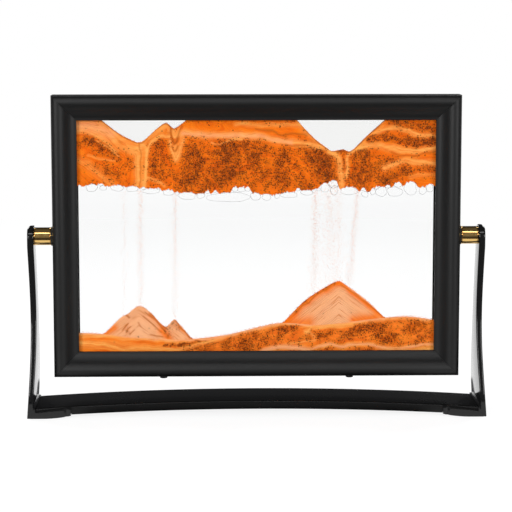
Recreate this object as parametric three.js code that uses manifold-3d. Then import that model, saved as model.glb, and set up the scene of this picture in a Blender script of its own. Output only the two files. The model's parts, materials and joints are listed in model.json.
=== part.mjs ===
// Moving sand picture: a mitred frame with a sealed water cell, turning end over end on a two-armed stand.
// Millimetres. X runs across the picture, Y from front to back, Z up, and the floor is Z = 0.

import * as THREE from 'three';
import { mergeVertices } from 'three/addons/utils/BufferGeometryUtils.js';
import Module from 'manifold-3d';

const wasm = await Module();
wasm.setup();

// Frame moulding, cut in four mitred lengths
const frameWidth = 225;
const frameHeight = 156;
const frameDepth = 20;
const outerWall = 5.2;
const keywayDepth = 3.6;
const keywayWidth = 4.4;
const seatDepth = 5;
const lipWall = 1.2;
const lipRound = 0.6;
const shoulderDrop = 3.6;
const ridgeInset = 3.6;
const coveInset = 8.4;
const coveDrop = 2.3;
const mitreGap = 0.1;

// Corner keys, hidden in the keyway
const keyLeg = 24;
const keyFit = 0.15;

// Glass cell
const paneThickness = 2;
const cellGap = 4;
const channelFit = 0.15;
const paneEdgeFit = 0.3;
const paneChamfer = 0.3;
const gasketCover = 0.6;
const gasketFit = 0.05;

// Contents of the cell
const fillFit = 0.15;
const fillGap = 0.3;
const streamRadius = 0.4;

// Filling plugs in the bottom rail
const plugSpacing = 104;
const plugWall = 0.6;
const plugFit = 0.1;
const plugTipInset = 0.5;
const plugHeadRadius = 2.1;
const plugHeadHeight = 2;
const plugHeadRound = 0.5;

// Pivots
const swingClearance = 10.9;
const barrelRadius = 5;
const barrelLength = 9.3;
const barrelChamfer = 0.4;
const washerRadius = 5.3;
const washerThickness = 1;
const washerChamfer = 0.2;
const faceFit = 0.05;
const pinRadius = 1.7;
const runFit = 0.08;
const pinHeadRadius = 3.4;
const pinHeadHeight = 1.4;
const pinHeadSink = 0.15;
const driveWidth = 0.9;
const driveLength = 4;
const driveDepth = 0.8;
const threadRadius = 1.4;
const threadFit = 0.1;
const insertWall = 1.1;
const insertFloor = 0.6;
const insertFit = 0.1;

// Arms of the stand
const armThickness = 3.6;
const armFootThickness = 2.8;
const armDepth = 14;
const armTopRise = 6;
const armEdgeRound = 0.7;
const armCrestRound = 2.2;
const armBow = 1.48;
const toeOut = 0.28;
const waistHeight = 44;
const flareHeight = 78;
const flareSharpness = 1.6;

// Feet, moulded in one with the arms
const footDepth = 38;
const footLength = 23.8;
const footFlat = 8;
const footRise = 1.6;
const footFloor = 2.4;
const rimWall = 1.1;
const rimRise = 1.8;
const rimTilt = 2.3;
const rimFall = 1.2;
const rimNotchWidth = 2;
const rimNotchDepth = 0.8;
const rimNotchInset = 2.6;
const cornerBlock = 1.4;
const cornerFillet = 1.2;

// Arched base plate, held between the feet
const plateThickness = 4.9;
const plateEndThickness = 3.05;
const plateArch = 3.85;
const plateEdgeRound = 1.1;
const plateFit = 0.2;
const rebateRun = 0.02;

// Largest share of a thickness that an edge round takes, and how far a cutter reaches past a face
const roundShare = 0.48;
const cutPast = 1;

// Fineness of round surfaces
const mergeDistance = 1e-4;
const roundSides = 24;
const cornerSteps = 3;
const curveSteps = 6;
const armSteps = 18;
const armTopDegrees = [0, 15, 30, 45, 57, 68, 77, 84];
const plateSteps = 22;
const plateEndSteps = 2;
const streamSides = 8;
const rimSteps = 27;
const duneSteps = 44;
const moundSteps = 24;

// Sizes that follow from the ones above
const railWidth = outerWall + keywayDepth + seatDepth;
const windowWidth = frameWidth - 2 * railWidth;
const windowHeight = frameHeight - 2 * railWidth;
const paneWidth = windowWidth + 2 * (seatDepth - paneEdgeFit);
const paneHeight = windowHeight + 2 * (seatDepth - paneEdgeFit);
const channelHalf = cellGap / 2 + paneThickness + channelFit;
const fillThickness = cellGap - 2 * fillFit;
const fillHalfWidth = windowWidth / 2 + gasketCover - fillGap;
const fillHalfHeight = windowHeight / 2 + gasketCover - fillGap;
const plugRadius = cellGap / 2 - plugWall;
const insertBore = threadRadius + threadFit;
const insertRadius = insertBore + insertWall;
const insertLength = outerWall - insertFloor;
const runBore = pinRadius + runFit;
const barrelStart = frameWidth / 2 + washerThickness + 2 * faceFit;
const armInner = barrelStart + barrelLength + faceFit;
const armOuter = armInner + armThickness;
const rebateHeight = footFloor + plateFit;
const plateEndTop = rebateHeight + plateEndThickness;
const plateCrown = plateEndTop + plateArch;
const pivotHeight = plateCrown + swingClearance + Math.hypot(frameHeight, frameDepth) / 2;
const bowTop = pivotHeight - barrelRadius - armEdgeRound;
const footEnd = armOuter - footLength;
const plateHalfLength = armOuter - armFootThickness - cornerBlock - plateFit;
const plateHalfDepth = footDepth / 2 - rimWall - plateFit;
const rebateStart = footEnd - plateFit;
const rimHeight = footFloor + rimRise;
const blockTop = plateEndTop + plateFit;

// Materials
function finish(color, roughness, metalness, opacity = 1) {
  return new THREE.MeshStandardMaterial({ color, roughness, metalness, opacity, transparent: opacity < 1 });
}
const framePlastic = () => finish(0x262627, 0.45, 0);
const standPlastic = () => finish(0x1a1a1b, 0.25, 0);
const keyPlastic = () => finish(0x8a8a86, 0.6, 0);
const brass = () => finish(0xd8a648, 0.2, 1);
const steel = () => finish(0x9a9a9c, 0.35, 1);
const rubber = () => finish(0x161616, 0.7, 0);
const glass = () => finish(0xf6fbfa, 0.03, 0, 0.2);
const liquid = () => finish(0xfafdfd, 0.02, 0, 0.15);
const air = () => finish(0xffffff, 0.02, 0, 0.25);
const sand = () => finish(0xe27a1c, 0.95, 0);

// Turns a closed geometry the right way out and keeps only its positions, with shared corners merged.
function closed(geometry) {
  const bare = new THREE.BufferGeometry();
  bare.setAttribute('position', geometry.getAttribute('position').clone());
  if (geometry.index) bare.setIndex(geometry.index.clone());
  const merged = mergeVertices(bare, mergeDistance);
  const index = merged.index.array;
  const position = merged.getAttribute('position');
  const corners = [new THREE.Vector3(), new THREE.Vector3(), new THREE.Vector3()];
  const kept = [];
  let volume = 0;
  for (let i = 0; i < index.length; i += 3) {
    const [a, b, c] = [index[i], index[i + 1], index[i + 2]];
    if (a === b || b === c || c === a) continue;
    corners.forEach((corner, k) => corner.fromBufferAttribute(position, [a, b, c][k]));
    volume += corners[0].dot(corners[1].clone().cross(corners[2]));
    kept.push([a, b, c]);
  }
  merged.setIndex(kept.flatMap(([a, b, c]) => (volume > 0 ? [a, b, c] : [a, c, b])));
  return merged;
}

function toSolid(geometry) {
  const mesh = closed(geometry);
  return new wasm.Manifold(new wasm.Mesh({
    numProp: 3,
    vertProperties: Float32Array.from(mesh.getAttribute('position').array),
    triVerts: Uint32Array.from(mesh.index.array),
  }));
}

function toGeometry(solid) {
  const mesh = solid.getMesh();
  const geometry = new THREE.BufferGeometry();
  geometry.setAttribute('position', new THREE.BufferAttribute(Float32Array.from(mesh.vertProperties), 3));
  geometry.setIndex([...mesh.triVerts]);
  return geometry;
}

function cut(geometry, tools) {
  let solid = toSolid(geometry);
  for (const tool of tools) solid = solid.subtract(toSolid(tool));
  return toGeometry(solid);
}

// Cuts like the function above and keeps the largest body that is left.
function cutToOne(geometry, tools) {
  let solid = toSolid(geometry);
  for (const tool of tools) solid = solid.subtract(toSolid(tool));
  const bodies = solid.decompose().sort((a, b) => b.volume() - a.volume());
  return toGeometry(bodies[0]);
}

function join(geometries) {
  let solid = toSolid(geometries[0]);
  for (const other of geometries.slice(1)) solid = solid.add(toSolid(other));
  return toGeometry(solid);
}

// A body through a row of rings that all have the same number of points.
function loft(rings) {
  const count = rings[0].length;
  const positions = rings.flat().flatMap((p) => [p.x, p.y, p.z]);
  const index = [];
  for (let r = 0; r + 1 < rings.length; r += 1) {
    for (let i = 0; i < count; i += 1) {
      const a = r * count + i;
      const b = r * count + ((i + 1) % count);
      index.push(a, b, b + count, a, b + count, a + count);
    }
  }
  const last = (rings.length - 1) * count;
  for (let i = 1; i + 1 < count; i += 1) {
    index.push(0, i + 1, i, last, last + i, last + i + 1);
  }
  const geometry = new THREE.BufferGeometry();
  geometry.setAttribute('position', new THREE.Float32BufferAttribute(positions, 3));
  geometry.setIndex(index);
  return closed(geometry);
}

// The points of a rectangle with rounded corners, as pairs in its own plane.
function roundedRectangle(lowA, highA, lowB, highB, radius) {
  const corners = [[highA, highB, 0], [lowA, highB, 1], [lowA, lowB, 2], [highA, lowB, 3]];
  return corners.flatMap(([a, b, quarter]) => {
    const centreA = a === highA ? a - radius : a + radius;
    const centreB = b === highB ? b - radius : b + radius;
    return Array.from({ length: cornerSteps + 1 }, (_, k) => {
      const angle = (quarter + k / cornerSteps) * (Math.PI / 2);
      return [centreA + radius * Math.cos(angle), centreB + radius * Math.sin(angle)];
    });
  });
}

// An outline drawn in the XZ plane, given a thickness along Y about Y = 0.
function slab(outline, thickness) {
  const shape = outline instanceof THREE.Shape ? outline : new THREE.Shape(outline);
  const geometry = new THREE.ExtrudeGeometry(shape, {
    depth: thickness,
    bevelEnabled: false,
    curveSegments: curveSteps,
  });
  geometry.translate(0, 0, -thickness / 2);
  geometry.rotateX(Math.PI / 2);
  return closed(geometry);
}

// A turned body about the Z axis, from pairs of radius and height.
function turned(profile) {
  const points = profile.map(([radius, height]) => new THREE.Vector2(radius, height));
  const geometry = new THREE.LatheGeometry(points, roundSides);
  geometry.rotateX(Math.PI / 2);
  return closed(geometry);
}

function rod(radius, low, high) {
  return turned([[0, low], [radius, low], [radius, high], [0, high]]);
}

function tube(inner, outer, length, chamfer) {
  return turned([
    [inner, 0],
    [outer - chamfer, 0],
    [outer, chamfer],
    [outer, length - chamfer],
    [outer - chamfer, length],
    [inner, length],
    [inner, 0],
  ]);
}

function box(lowX, highX, lowY, highY, lowZ, highZ) {
  const geometry = new THREE.BoxGeometry(highX - lowX, highY - lowY, highZ - lowZ);
  geometry.translate((lowX + highX) / 2, (lowY + highY) / 2, (lowZ + highZ) / 2);
  return geometry;
}

function piece(name, geometry, material) {
  const mesh = new THREE.Mesh(geometry, material);
  mesh.name = name;
  return mesh;
}

// Frame moulding: an ogee on both faces, with a channel for the glass and a keyway behind it.
function mouldingSection() {
  const half = frameDepth / 2;
  const lipHalf = channelHalf + lipWall;
  const keyHalf = keywayWidth / 2;
  const coveHalf = Math.max(half - coveDrop, lipHalf);
  const section = new THREE.Shape();
  section.moveTo(0, shoulderDrop - half);
  section.lineTo(0, half - shoulderDrop);
  section.quadraticCurveTo(0, half, ridgeInset, half);
  section.quadraticCurveTo((ridgeInset + coveInset) / 2, half, coveInset, coveHalf);
  section.quadraticCurveTo((coveInset + railWidth) / 2, lipHalf, railWidth - lipRound, lipHalf);
  section.quadraticCurveTo(railWidth, lipHalf, railWidth, lipHalf - lipRound);
  section.lineTo(railWidth, channelHalf);
  section.lineTo(railWidth - seatDepth, channelHalf);
  section.lineTo(railWidth - seatDepth, keyHalf);
  section.lineTo(outerWall, keyHalf);
  section.lineTo(outerWall, -keyHalf);
  section.lineTo(railWidth - seatDepth, -keyHalf);
  section.lineTo(railWidth - seatDepth, -channelHalf);
  section.lineTo(railWidth, -channelHalf);
  section.lineTo(railWidth, lipRound - lipHalf);
  section.quadraticCurveTo(railWidth, -lipHalf, railWidth - lipRound, -lipHalf);
  section.quadraticCurveTo((coveInset + railWidth) / 2, -lipHalf, coveInset, -coveHalf);
  section.quadraticCurveTo((ridgeInset + coveInset) / 2, -half, ridgeInset, -half);
  section.quadraticCurveTo(0, -half, 0, shoulderDrop - half);
  return section;
}

// A rail lies along X with its outer side on Z = 0 and its lip downward. Both ends are mitred.
function rail(length, bores = []) {
  const geometry = new THREE.ExtrudeGeometry(mouldingSection(), {
    depth: 1,
    bevelEnabled: false,
    curveSegments: curveSteps,
  });
  const position = geometry.getAttribute('position');
  for (let i = 0; i < position.count; i += 1) {
    const inset = position.getX(i);
    const across = position.getY(i);
    const end = position.getZ(i) > 0 ? 1 : -1;
    position.setXYZ(i, end * (length / 2 - inset - mitreGap / 2), across, -inset);
  }
  return bores.length > 0 ? cut(geometry, bores) : closed(geometry);
}

function insertPocket() {
  return rod(insertRadius + insertFit, -insertLength, cutPast);
}

function plugBore(along) {
  return rod(plugRadius + plugFit, -railWidth - cutPast, cutPast).translate(along, 0, 0);
}

function frameRails() {
  const plugBores = [plugBore(-plugSpacing / 2), plugBore(plugSpacing / 2)];
  const rails = [
    ['top_rail', rail(frameWidth), 0],
    ['right_rail', rail(frameHeight, [insertPocket()]), 1],
    ['bottom_rail', rail(frameWidth, plugBores), 2],
    ['left_rail', rail(frameHeight, [insertPocket()]), 3],
  ];
  return rails.map(([name, geometry, quarter]) => {
    const mesh = piece(name, geometry, framePlastic());
    const upright = quarter % 2 === 1;
    const reach = (upright ? frameWidth : frameHeight) / 2;
    const turn = quarter * (Math.PI / 2);
    mesh.rotation.y = turn;
    mesh.position.set(reach * Math.sin(turn), 0, reach * Math.cos(turn));
    return mesh;
  });
}

function cornerKeys() {
  const outer = outerWall + keyFit;
  const width = keywayDepth - 2 * keyFit;
  const outline = [[0, 0], [keyLeg, 0], [keyLeg, width], [width, width], [width, keyLeg], [0, keyLeg]];
  const corners = [
    ['top_left', -1, 1], ['top_right', 1, 1], ['bottom_right', 1, -1], ['bottom_left', -1, -1],
  ];
  return corners.map(([name, sideX, sideZ]) => {
    const placed = outline.map(([a, b]) => new THREE.Vector2(
      sideX * (frameWidth / 2 - outer - a),
      sideZ * (frameHeight / 2 - outer - b),
    ));
    return piece(`corner_key_${name}`, slab(placed, keywayWidth - 2 * keyFit), keyPlastic());
  });
}

// Glass cell: two panes with ground edges, kept apart by one rubber gasket.
function panes() {
  const inset = paneChamfer;
  const ring = (shrink, y) => [[1, 1], [-1, 1], [-1, -1], [1, -1]].map(
    ([a, b]) => new THREE.Vector3(a * (paneWidth / 2 - shrink), y, b * (paneHeight / 2 - shrink)),
  );
  const near = cellGap / 2;
  const far = near + paneThickness;
  const sides = [['front_pane', -1], ['rear_pane', 1]];
  return sides.map(([name, side]) => piece(name, loft([
    ring(inset, side * near),
    ring(0, side * (near + inset)),
    ring(0, side * (far - inset)),
    ring(inset, side * far),
  ]), glass()));
}

function rectangle(halfWidth, halfHeight) {
  return [[-1, -1], [1, -1], [1, 1], [-1, 1]].map(
    ([a, b]) => new THREE.Vector2(a * halfWidth, b * halfHeight),
  );
}

function gasket() {
  const outline = new THREE.Shape(rectangle(paneWidth / 2, paneHeight / 2));
  const opening = rectangle(windowWidth / 2 + gasketCover, windowHeight / 2 + gasketCover);
  outline.holes.push(new THREE.Path(opening));
  const bores = [-1, 1].map((side) => rod(plugRadius + plugFit, -frameHeight / 2, 0)
    .translate(side * plugSpacing / 2, 0, 0));
  return piece('gasket', cut(slab(outline, cellGap - 2 * gasketFit), bores), rubber());
}

function fillPlugs() {
  const tip = railWidth - gasketCover - plugTipInset;
  const profile = [
    [0, -plugHeadHeight],
    [plugHeadRadius - plugHeadRound, -plugHeadHeight],
    [plugHeadRadius, plugHeadRound - plugHeadHeight],
    [plugHeadRadius, -faceFit],
    [plugRadius, -faceFit],
    [plugRadius, tip],
    [0, tip],
  ];
  return [['fill_plug_left', -1], ['fill_plug_right', 1]].map(([name, side]) => {
    const mesh = piece(name, turned(profile), rubber());
    mesh.position.set(side * plugSpacing / 2, 0, -frameHeight / 2);
    return mesh;
  });
}

// Contents of the cell. Places are percentages of the fill's half width and half height, from its middle.
function spot(across, up) {
  return new THREE.Vector2(across / 100 * fillHalfWidth, up / 100 * fillHalfHeight);
}

// Each air bubble: middle and width across, then its lowest and highest point.
const bubbleRow = [
  [-91.9, 6.3, 38.3, 45.1], [-85.6, 3.6, 39.3, 43.7], [-77.8, 7.3, 38.8, 44.2], [-69.4, 6.9, 38.3, 43.2],
  [-58.7, 9.5, 36.3, 41.2], [-49.2, 5.9, 34.8, 40.2], [-38.9, 10.1, 31.4, 37.8], [-31.2, 4.7, 32.4, 36.8],
  [-15.6, 23.3, 29, 37.3], [-0.6, 5.5, 30.4, 37.3], [5.6, 5.1, 30.4, 36.3], [11.5, 2.8, 31.9, 36.3],
  [18.1, 8.9, 32.4, 37.8], [28.1, 6.9, 34.8, 39.3], [38.3, 4.9, 37.3, 45.6], [43.5, 4, 34.8, 43.2],
  [51.7, 8.9, 34.8, 42.2], [60.7, 3.8, 32.9, 37.8], [65.1, 2.8, 34.8, 40.7], [69.9, 5.9, 33.4, 42.2],
  [77.4, 8.3, 33.4, 41.7], [86.2, 7.1, 34.8, 46.6], [93.1, 4.3, 35.3, 42.2], [97, 2.4, 36.8, 44.7],
];
const bubbleSquareness = 2.6;
const bubbleSides = 12;
const bubbleBulge = [[-1, 0.7], [-0.6, 0.93], [0, 1], [0.6, 0.93], [1, 0.7]];
const hangShare = 0.62;

// The outline of a bubble, a rounded lozenge, grown by a margin.
function bubbleOutline([middle, width, low, high], margin = 0, scale = 1) {
  const centre = spot(middle, (low + high) / 2);
  const halfWidth = width / 200 * fillHalfWidth - fillGap / 2;
  const halfHeight = (high - low) / 200 * fillHalfHeight;
  return Array.from({ length: bubbleSides }, (_, k) => {
    const angle = (k / bubbleSides) * 2 * Math.PI;
    const bend = (value) => Math.sign(value) * Math.abs(value) ** (2 / bubbleSquareness);
    return new THREE.Vector2(
      centre.x + (halfWidth * scale + margin) * bend(Math.cos(angle)),
      centre.y + (halfHeight * scale + margin) * bend(Math.sin(angle)),
    );
  });
}

function bubbleRooms() {
  return bubbleRow.map((bubble) => slab(bubbleOutline(bubble, fillGap), 2 * cellGap));
}

function bubbles() {
  return bubbleRow.map((bubble, k) => {
    const rings = bubbleBulge.map(([depth, scale]) => bubbleOutline(bubble, 0, scale).map(
      (p) => new THREE.Vector3(p.x, depth * fillThickness / 2, p.y),
    ));
    return piece(`air_bubble_${String(k + 1).padStart(2, '0')}`, loft(rings), air());
  });
}

// The line that the sand hangs down to between the bubbles.
function hangLine(drop) {
  const inner = bubbleRow.map((bubble) => {
    const [middle, , low, high] = bubble;
    return spot(middle, low + hangShare * (high - low));
  });
  const first = new THREE.Vector2(-fillHalfWidth, inner[0].y);
  const last = new THREE.Vector2(fillHalfWidth, inner[inner.length - 1].y);
  return [first, ...inner, last].map((p) => new THREE.Vector2(p.x, p.y - drop));
}

// Craters left at the top by the sand that has run out, and the two mounds that it has built.
const leftCrater = [
  [-87.7, 101.1], [-76.8, 88.1], [-68, 81.2], [-65.3, 80.3], [-62.4, 82.3],
  [-54.5, 93], [-50.3, 96.7], [-47, 93], [-44.8, 92.6], [-37.4, 101.1],
];
const rightCrater = [
  [21.4, 101.1], [31.1, 85], [40, 74.3], [42.7, 72.4],
  [48.3, 73.8], [53, 72.7], [61.3, 84.8], [73.1, 101.1],
];
const leftMound = [
  [-86.3, -85.9], [-76.8, -71.2], [-72.6, -67.6], [-66.2, -60.8], [-59.9, -66.2],
  [-51.8, -78.6], [-46.7, -72.9], [-44, -75.8], [-36.2, -90.5],
];
const rightMound = [
  [14.7, -76.3], [27.2, -56.6], [39.4, -44.2], [45.5, -39.7], [48.8, -41.4], [61.9, -56.7], [72.7, -72.6],
];
const duneCrest = [
  [-100, -83.9], [-85.8, -85], [-62.8, -88.5], [-36.8, -89.6], [-16, -85.9], [1.9, -79.2],
  [15.1, -75.8], [33.8, -77.7], [48.9, -75.7], [67.7, -72.4], [85.6, -70.7], [100, -73.8],
];

function places(list, lift = 0) {
  return list.map(([across, up]) => spot(across, up).add(new THREE.Vector2(0, lift)));
}

function smooth(points, steps) {
  return new THREE.SplineCurve(points).getPoints(steps);
}

// A crater's rim curve reaches past the top edge, so the outline is trimmed there.
function craterRoom(list, lift) {
  const rim = smooth(places(list, lift), rimSteps);
  const above = fillHalfHeight + cutPast;
  return slab([
    ...rim,
    new THREE.Vector2(rim[rim.length - 1].x, above),
    new THREE.Vector2(rim[0].x, above),
  ], 2 * cellGap);
}

function craterFill(list) {
  const rim = smooth(places(list, 2 * fillGap), rimSteps).filter((p) => p.y < fillHalfHeight);
  const top = fillHalfHeight;
  const first = new THREE.Vector2(rim[0].x - fillGap / 2, top);
  const last = new THREE.Vector2(rim[rim.length - 1].x + fillGap / 2, top);
  return slab([first, ...rim, last], fillThickness);
}

function duneLine(lift) {
  return smooth(places(duneCrest, lift), duneSteps);
}

function duneRoom(lift) {
  const floor = -fillHalfHeight - cutPast;
  const crest = duneLine(lift);
  const past = fillHalfWidth + cutPast;
  return slab([
    new THREE.Vector2(-past, floor),
    new THREE.Vector2(past, floor),
    new THREE.Vector2(past, crest[crest.length - 1].y),
    ...crest.slice().reverse(),
    new THREE.Vector2(-past, crest[0].y),
  ], 2 * cellGap);
}

function moundOutline(list, lift) {
  const crest = smooth(places(list, lift), moundSteps);
  const floor = -fillHalfHeight;
  return [
    ...crest,
    new THREE.Vector2(crest[crest.length - 1].x, floor),
    new THREE.Vector2(crest[0].x, floor),
  ];
}

// Where sand trickles through: the place across of each stream.
const streamPlaces = [-64.8, -45.2, 33.2, 57.6];

function heightOn(line, x) {
  const next = line.findIndex((p) => p.x >= x);
  const [a, b] = [line[Math.max(next - 1, 0)], line[next]];
  return b.x === a.x ? b.y : a.y + (b.y - a.y) * (x - a.x) / (b.x - a.x);
}

function streamSpan(across) {
  const { x } = spot(across, 0);
  const mound = smooth(places(x < 0 ? leftMound : rightMound), moundSteps);
  return { x, low: heightOn(mound, x) + 2 * fillGap, high: heightOn(hangLine(0), x) - fillGap };
}

function streams() {
  return streamPlaces.map((across, k) => {
    const { x, low, high } = streamSpan(across);
    const geometry = new THREE.CylinderGeometry(streamRadius, streamRadius, high - low, streamSides);
    geometry.rotateX(Math.PI / 2);
    geometry.translate(x, 0, (low + high) / 2);
    return piece(`sand_stream_${k + 1}`, closed(geometry), sand());
  });
}

function upperSand() {
  const top = fillHalfHeight;
  const outline = [
    ...hangLine(0),
    new THREE.Vector2(fillHalfWidth, top),
    new THREE.Vector2(-fillHalfWidth, top),
  ];
  const rooms = [craterRoom(leftCrater, 0), craterRoom(rightCrater, 0), ...bubbleRooms()];
  return piece('upper_sand', cutToOne(slab(outline, fillThickness), rooms), sand());
}

function lowerSand() {
  const floor = -fillHalfHeight;
  const crest = duneLine(0);
  const bed = slab([
    new THREE.Vector2(-fillHalfWidth, floor),
    new THREE.Vector2(fillHalfWidth, floor),
    ...crest.slice().reverse(),
  ], fillThickness);
  const mounds = [['left_mound', leftMound], ['right_mound', rightMound]].map(([name, list]) => piece(
    name,
    cutToOne(slab(moundOutline(list, 0), fillThickness), [duneRoom(fillGap)]),
    sand(),
  ));
  return [piece('dune_bed', bed, sand()), ...mounds];
}

function liquids() {
  const ceiling = hangLine(fillGap);
  const outline = [
    new THREE.Vector2(fillHalfWidth, -fillHalfHeight),
    new THREE.Vector2(-fillHalfWidth, -fillHalfHeight),
    ...ceiling,
  ];
  const streamRooms = streamPlaces.map((across) => {
    const { x, low, high } = streamSpan(across);
    return rod(streamRadius + fillGap, low - 4 * fillGap, high + 2 * fillGap).translate(x, 0, 0);
  });
  const rooms = [
    duneRoom(fillGap),
    slab(moundOutline(leftMound, 2 * fillGap), 2 * cellGap),
    slab(moundOutline(rightMound, 2 * fillGap), 2 * cellGap),
    ...bubbleRooms(),
    ...streamRooms,
  ];
  return [
    piece('liquid_fill', cutToOne(slab(outline, fillThickness), rooms), liquid()),
    piece('left_crater_liquid', craterFill(leftCrater), liquid()),
    piece('right_crater_liquid', craterFill(rightCrater), liquid()),
  ];
}

// Pivots. Each turned piece is drawn along Z and laid along X, outward from the frame.
function laid(name, geometry, material, side, distance) {
  const mesh = piece(name, geometry, material);
  mesh.rotation.y = side * Math.PI / 2;
  mesh.position.set(side * distance, 0, 0);
  return mesh;
}

function pinSolid() {
  const headTop = armOuter - frameWidth / 2 - pinHeadSink;
  const headSeat = headTop - pinHeadHeight;
  const tip = -insertLength + threadFit;
  const blank = turned([
    [0, tip],
    [threadRadius, tip],
    [threadRadius, 0],
    [pinRadius, 0],
    [pinRadius, headSeat],
    [pinHeadRadius, headSeat],
    [pinHeadRadius, headTop],
    [0, headTop],
  ]);
  const low = headTop - driveDepth;
  const half = driveWidth / 2;
  const reach = driveLength / 2;
  return cut(blank, [
    box(-reach, reach, -half, half, low, headTop + cutPast),
    box(-half, half, -reach, reach, low, headTop + cutPast),
  ]);
}

function turningPivotPieces() {
  const insert = turned([
    [insertBore, -insertLength],
    [insertRadius, -insertLength],
    [insertRadius, 0],
    [insertBore, 0],
    [insertBore, -insertLength],
  ]);
  const washer = tube(runBore, washerRadius, washerThickness, washerChamfer);
  return [['left', -1], ['right', 1]].flatMap(([name, side]) => [
    laid(`thread_insert_${name}`, insert, brass(), side, frameWidth / 2),
    laid(`washer_${name}`, washer, rubber(), side, frameWidth / 2 + faceFit),
    laid(`pivot_pin_${name}`, pinSolid(), steel(), side, frameWidth / 2),
  ]);
}

function barrels() {
  const barrel = tube(runBore, barrelRadius, barrelLength, barrelChamfer);
  return [['left', -1], ['right', 1]].map(([name, side]) => {
    const mesh = laid(`barrel_${name}`, barrel, brass(), side, barrelStart);
    mesh.position.z = pivotHeight;
    return mesh;
  });
}

// Arms: a strap that bows in a little, with a round top, flaring to the depth of the foot.
function armRing(side, height) {
  const topCentre = pivotHeight + armTopRise - armDepth / 2;
  const blockRise = blockTop + cornerFillet;
  const above = Math.max(height - blockRise, 0) / (flareHeight - blockRise);
  const below = Math.max(0, 1 - above) ** flareSharpness;
  const flare = below * below * (3 - 2 * below);
  const round = Math.max(0, height - topCentre);
  const straight = Math.sqrt(Math.max((armDepth / 2) ** 2 - round ** 2, 0));
  const halfDepth = straight + (footDepth - armDepth) / 2 * flare;
  const upper = Math.min((height - waistHeight) / (bowTop - waistHeight), 1);
  const bow = upper > 0
    ? armBow * Math.cos(Math.PI / 2 * upper)
    : armBow - (armBow + toeOut) * (1 - height / waistHeight) ** 2;
  const slimness = Math.max(0, 1 - height / bowTop);
  const crest = Math.max(0, (height - topCentre - armDepth / 2) / armCrestRound + 1);
  const crestFall = armCrestRound * (1 - Math.sqrt(Math.max(0, 1 - crest ** 2)));
  const inner = armOuter - bow - armThickness - (armFootThickness - armThickness) * slimness;
  const outer = armOuter - bow - crestFall;
  const thickness = outer - inner;
  const radius = Math.min(armEdgeRound, roundShare * 2 * halfDepth, roundShare * thickness);
  return roundedRectangle(inner, outer, -halfDepth, halfDepth, radius).map(
    ([x, y]) => new THREE.Vector3(side * x, y, height),
  );
}

function armStrap(side) {
  const topCentre = pivotHeight + armTopRise - armDepth / 2;
  const lowerLevels = Array.from({ length: armSteps }, (_, k) => k / armSteps * topCentre);
  const topLevels = armTopDegrees.map(
    (degrees) => topCentre + armDepth / 2 * Math.sin(THREE.MathUtils.degToRad(degrees)),
  );
  return loft([...lowerLevels, ...topLevels].map((height) => armRing(side, height)));
}

// The foot reaches inward under the plate. Its distances run inward from the arm's outer face.
function footBlock(side) {
  const outline = new THREE.Shape();
  const at = (inset, height) => [side * (armOuter - inset), height];
  const wallInset = armFootThickness;
  const blockInset = wallInset + cornerBlock;
  outline.moveTo(...at(wallInset / 2, 0));
  outline.lineTo(...at(footFlat, 0));
  outline.quadraticCurveTo(...at((footFlat + footLength) / 2, 0), ...at(footLength, footRise));
  outline.lineTo(...at(footLength, rimHeight + rimTilt));
  outline.lineTo(...at(blockInset, rimHeight));
  outline.lineTo(...at(blockInset, blockTop));
  outline.quadraticCurveTo(...at(wallInset, blockTop), ...at(wallInset, blockTop + cornerFillet));
  outline.lineTo(...at(wallInset / 2, blockTop + cornerFillet));
  return slab(outline, footDepth);
}

function footPocket(side) {
  const inner = side * (footEnd - cutPast);
  const outer = side * (plateHalfLength + plateFit);
  const half = plateHalfDepth + plateFit;
  const top = footFloor + rimHeight + rimTilt;
  return box(Math.min(inner, outer), Math.max(inner, outer), -half, half, footFloor, top);
}

// Cutters that slope the rims' tops outward, let them rise with the plate and notch their inner ends.
function rimCutters(side) {
  const half = footDepth / 2;
  const blockFace = plateHalfLength + plateFit;
  const length = blockFace - footEnd + cutPast;
  const slopeDrop = rimFall * (rimWall + cutPast) / rimWall;
  const notchHalf = rimNotchWidth / 2 * (rimNotchDepth + cutPast) / rimNotchDepth;
  return [-1, 1].flatMap((face) => {
    const section = new THREE.Shape([
      new THREE.Vector2(face * (half - rimWall), rimHeight),
      new THREE.Vector2(face * (half - rimWall), rimHeight + cutPast),
      new THREE.Vector2(face * (half + cutPast), rimHeight + cutPast),
      new THREE.Vector2(face * (half + cutPast), rimHeight - slopeDrop),
    ]);
    const slope = new THREE.ExtrudeGeometry(section, { depth: length, bevelEnabled: false });
    slope.rotateX(Math.PI / 2);
    slope.rotateZ(Math.PI / 2);
    slope.translate(side > 0 ? footEnd - cutPast : -blockFace, 0, 0);
    const tilt = rimTilt / (blockFace - footEnd);
    slope.applyMatrix4(new THREE.Matrix4().set(
      1, 0, 0, 0,
      0, 1, 0, 0,
      -side * tilt, 0, 1, blockFace * tilt,
      0, 0, 0, 1,
    ));
    const notchMiddle = side * (footEnd + rimNotchInset);
    const notch = new THREE.ExtrudeGeometry(new THREE.Shape([
      new THREE.Vector2(notchMiddle - notchHalf, face * (half + cutPast)),
      new THREE.Vector2(notchMiddle + notchHalf, face * (half + cutPast)),
      new THREE.Vector2(notchMiddle, face * (half - rimNotchDepth)),
    ]), { depth: rimHeight + rimTilt + 2 * cutPast, bevelEnabled: false });
    notch.translate(0, 0, -cutPast);
    return [closed(slope), closed(notch)];
  });
}

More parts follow.
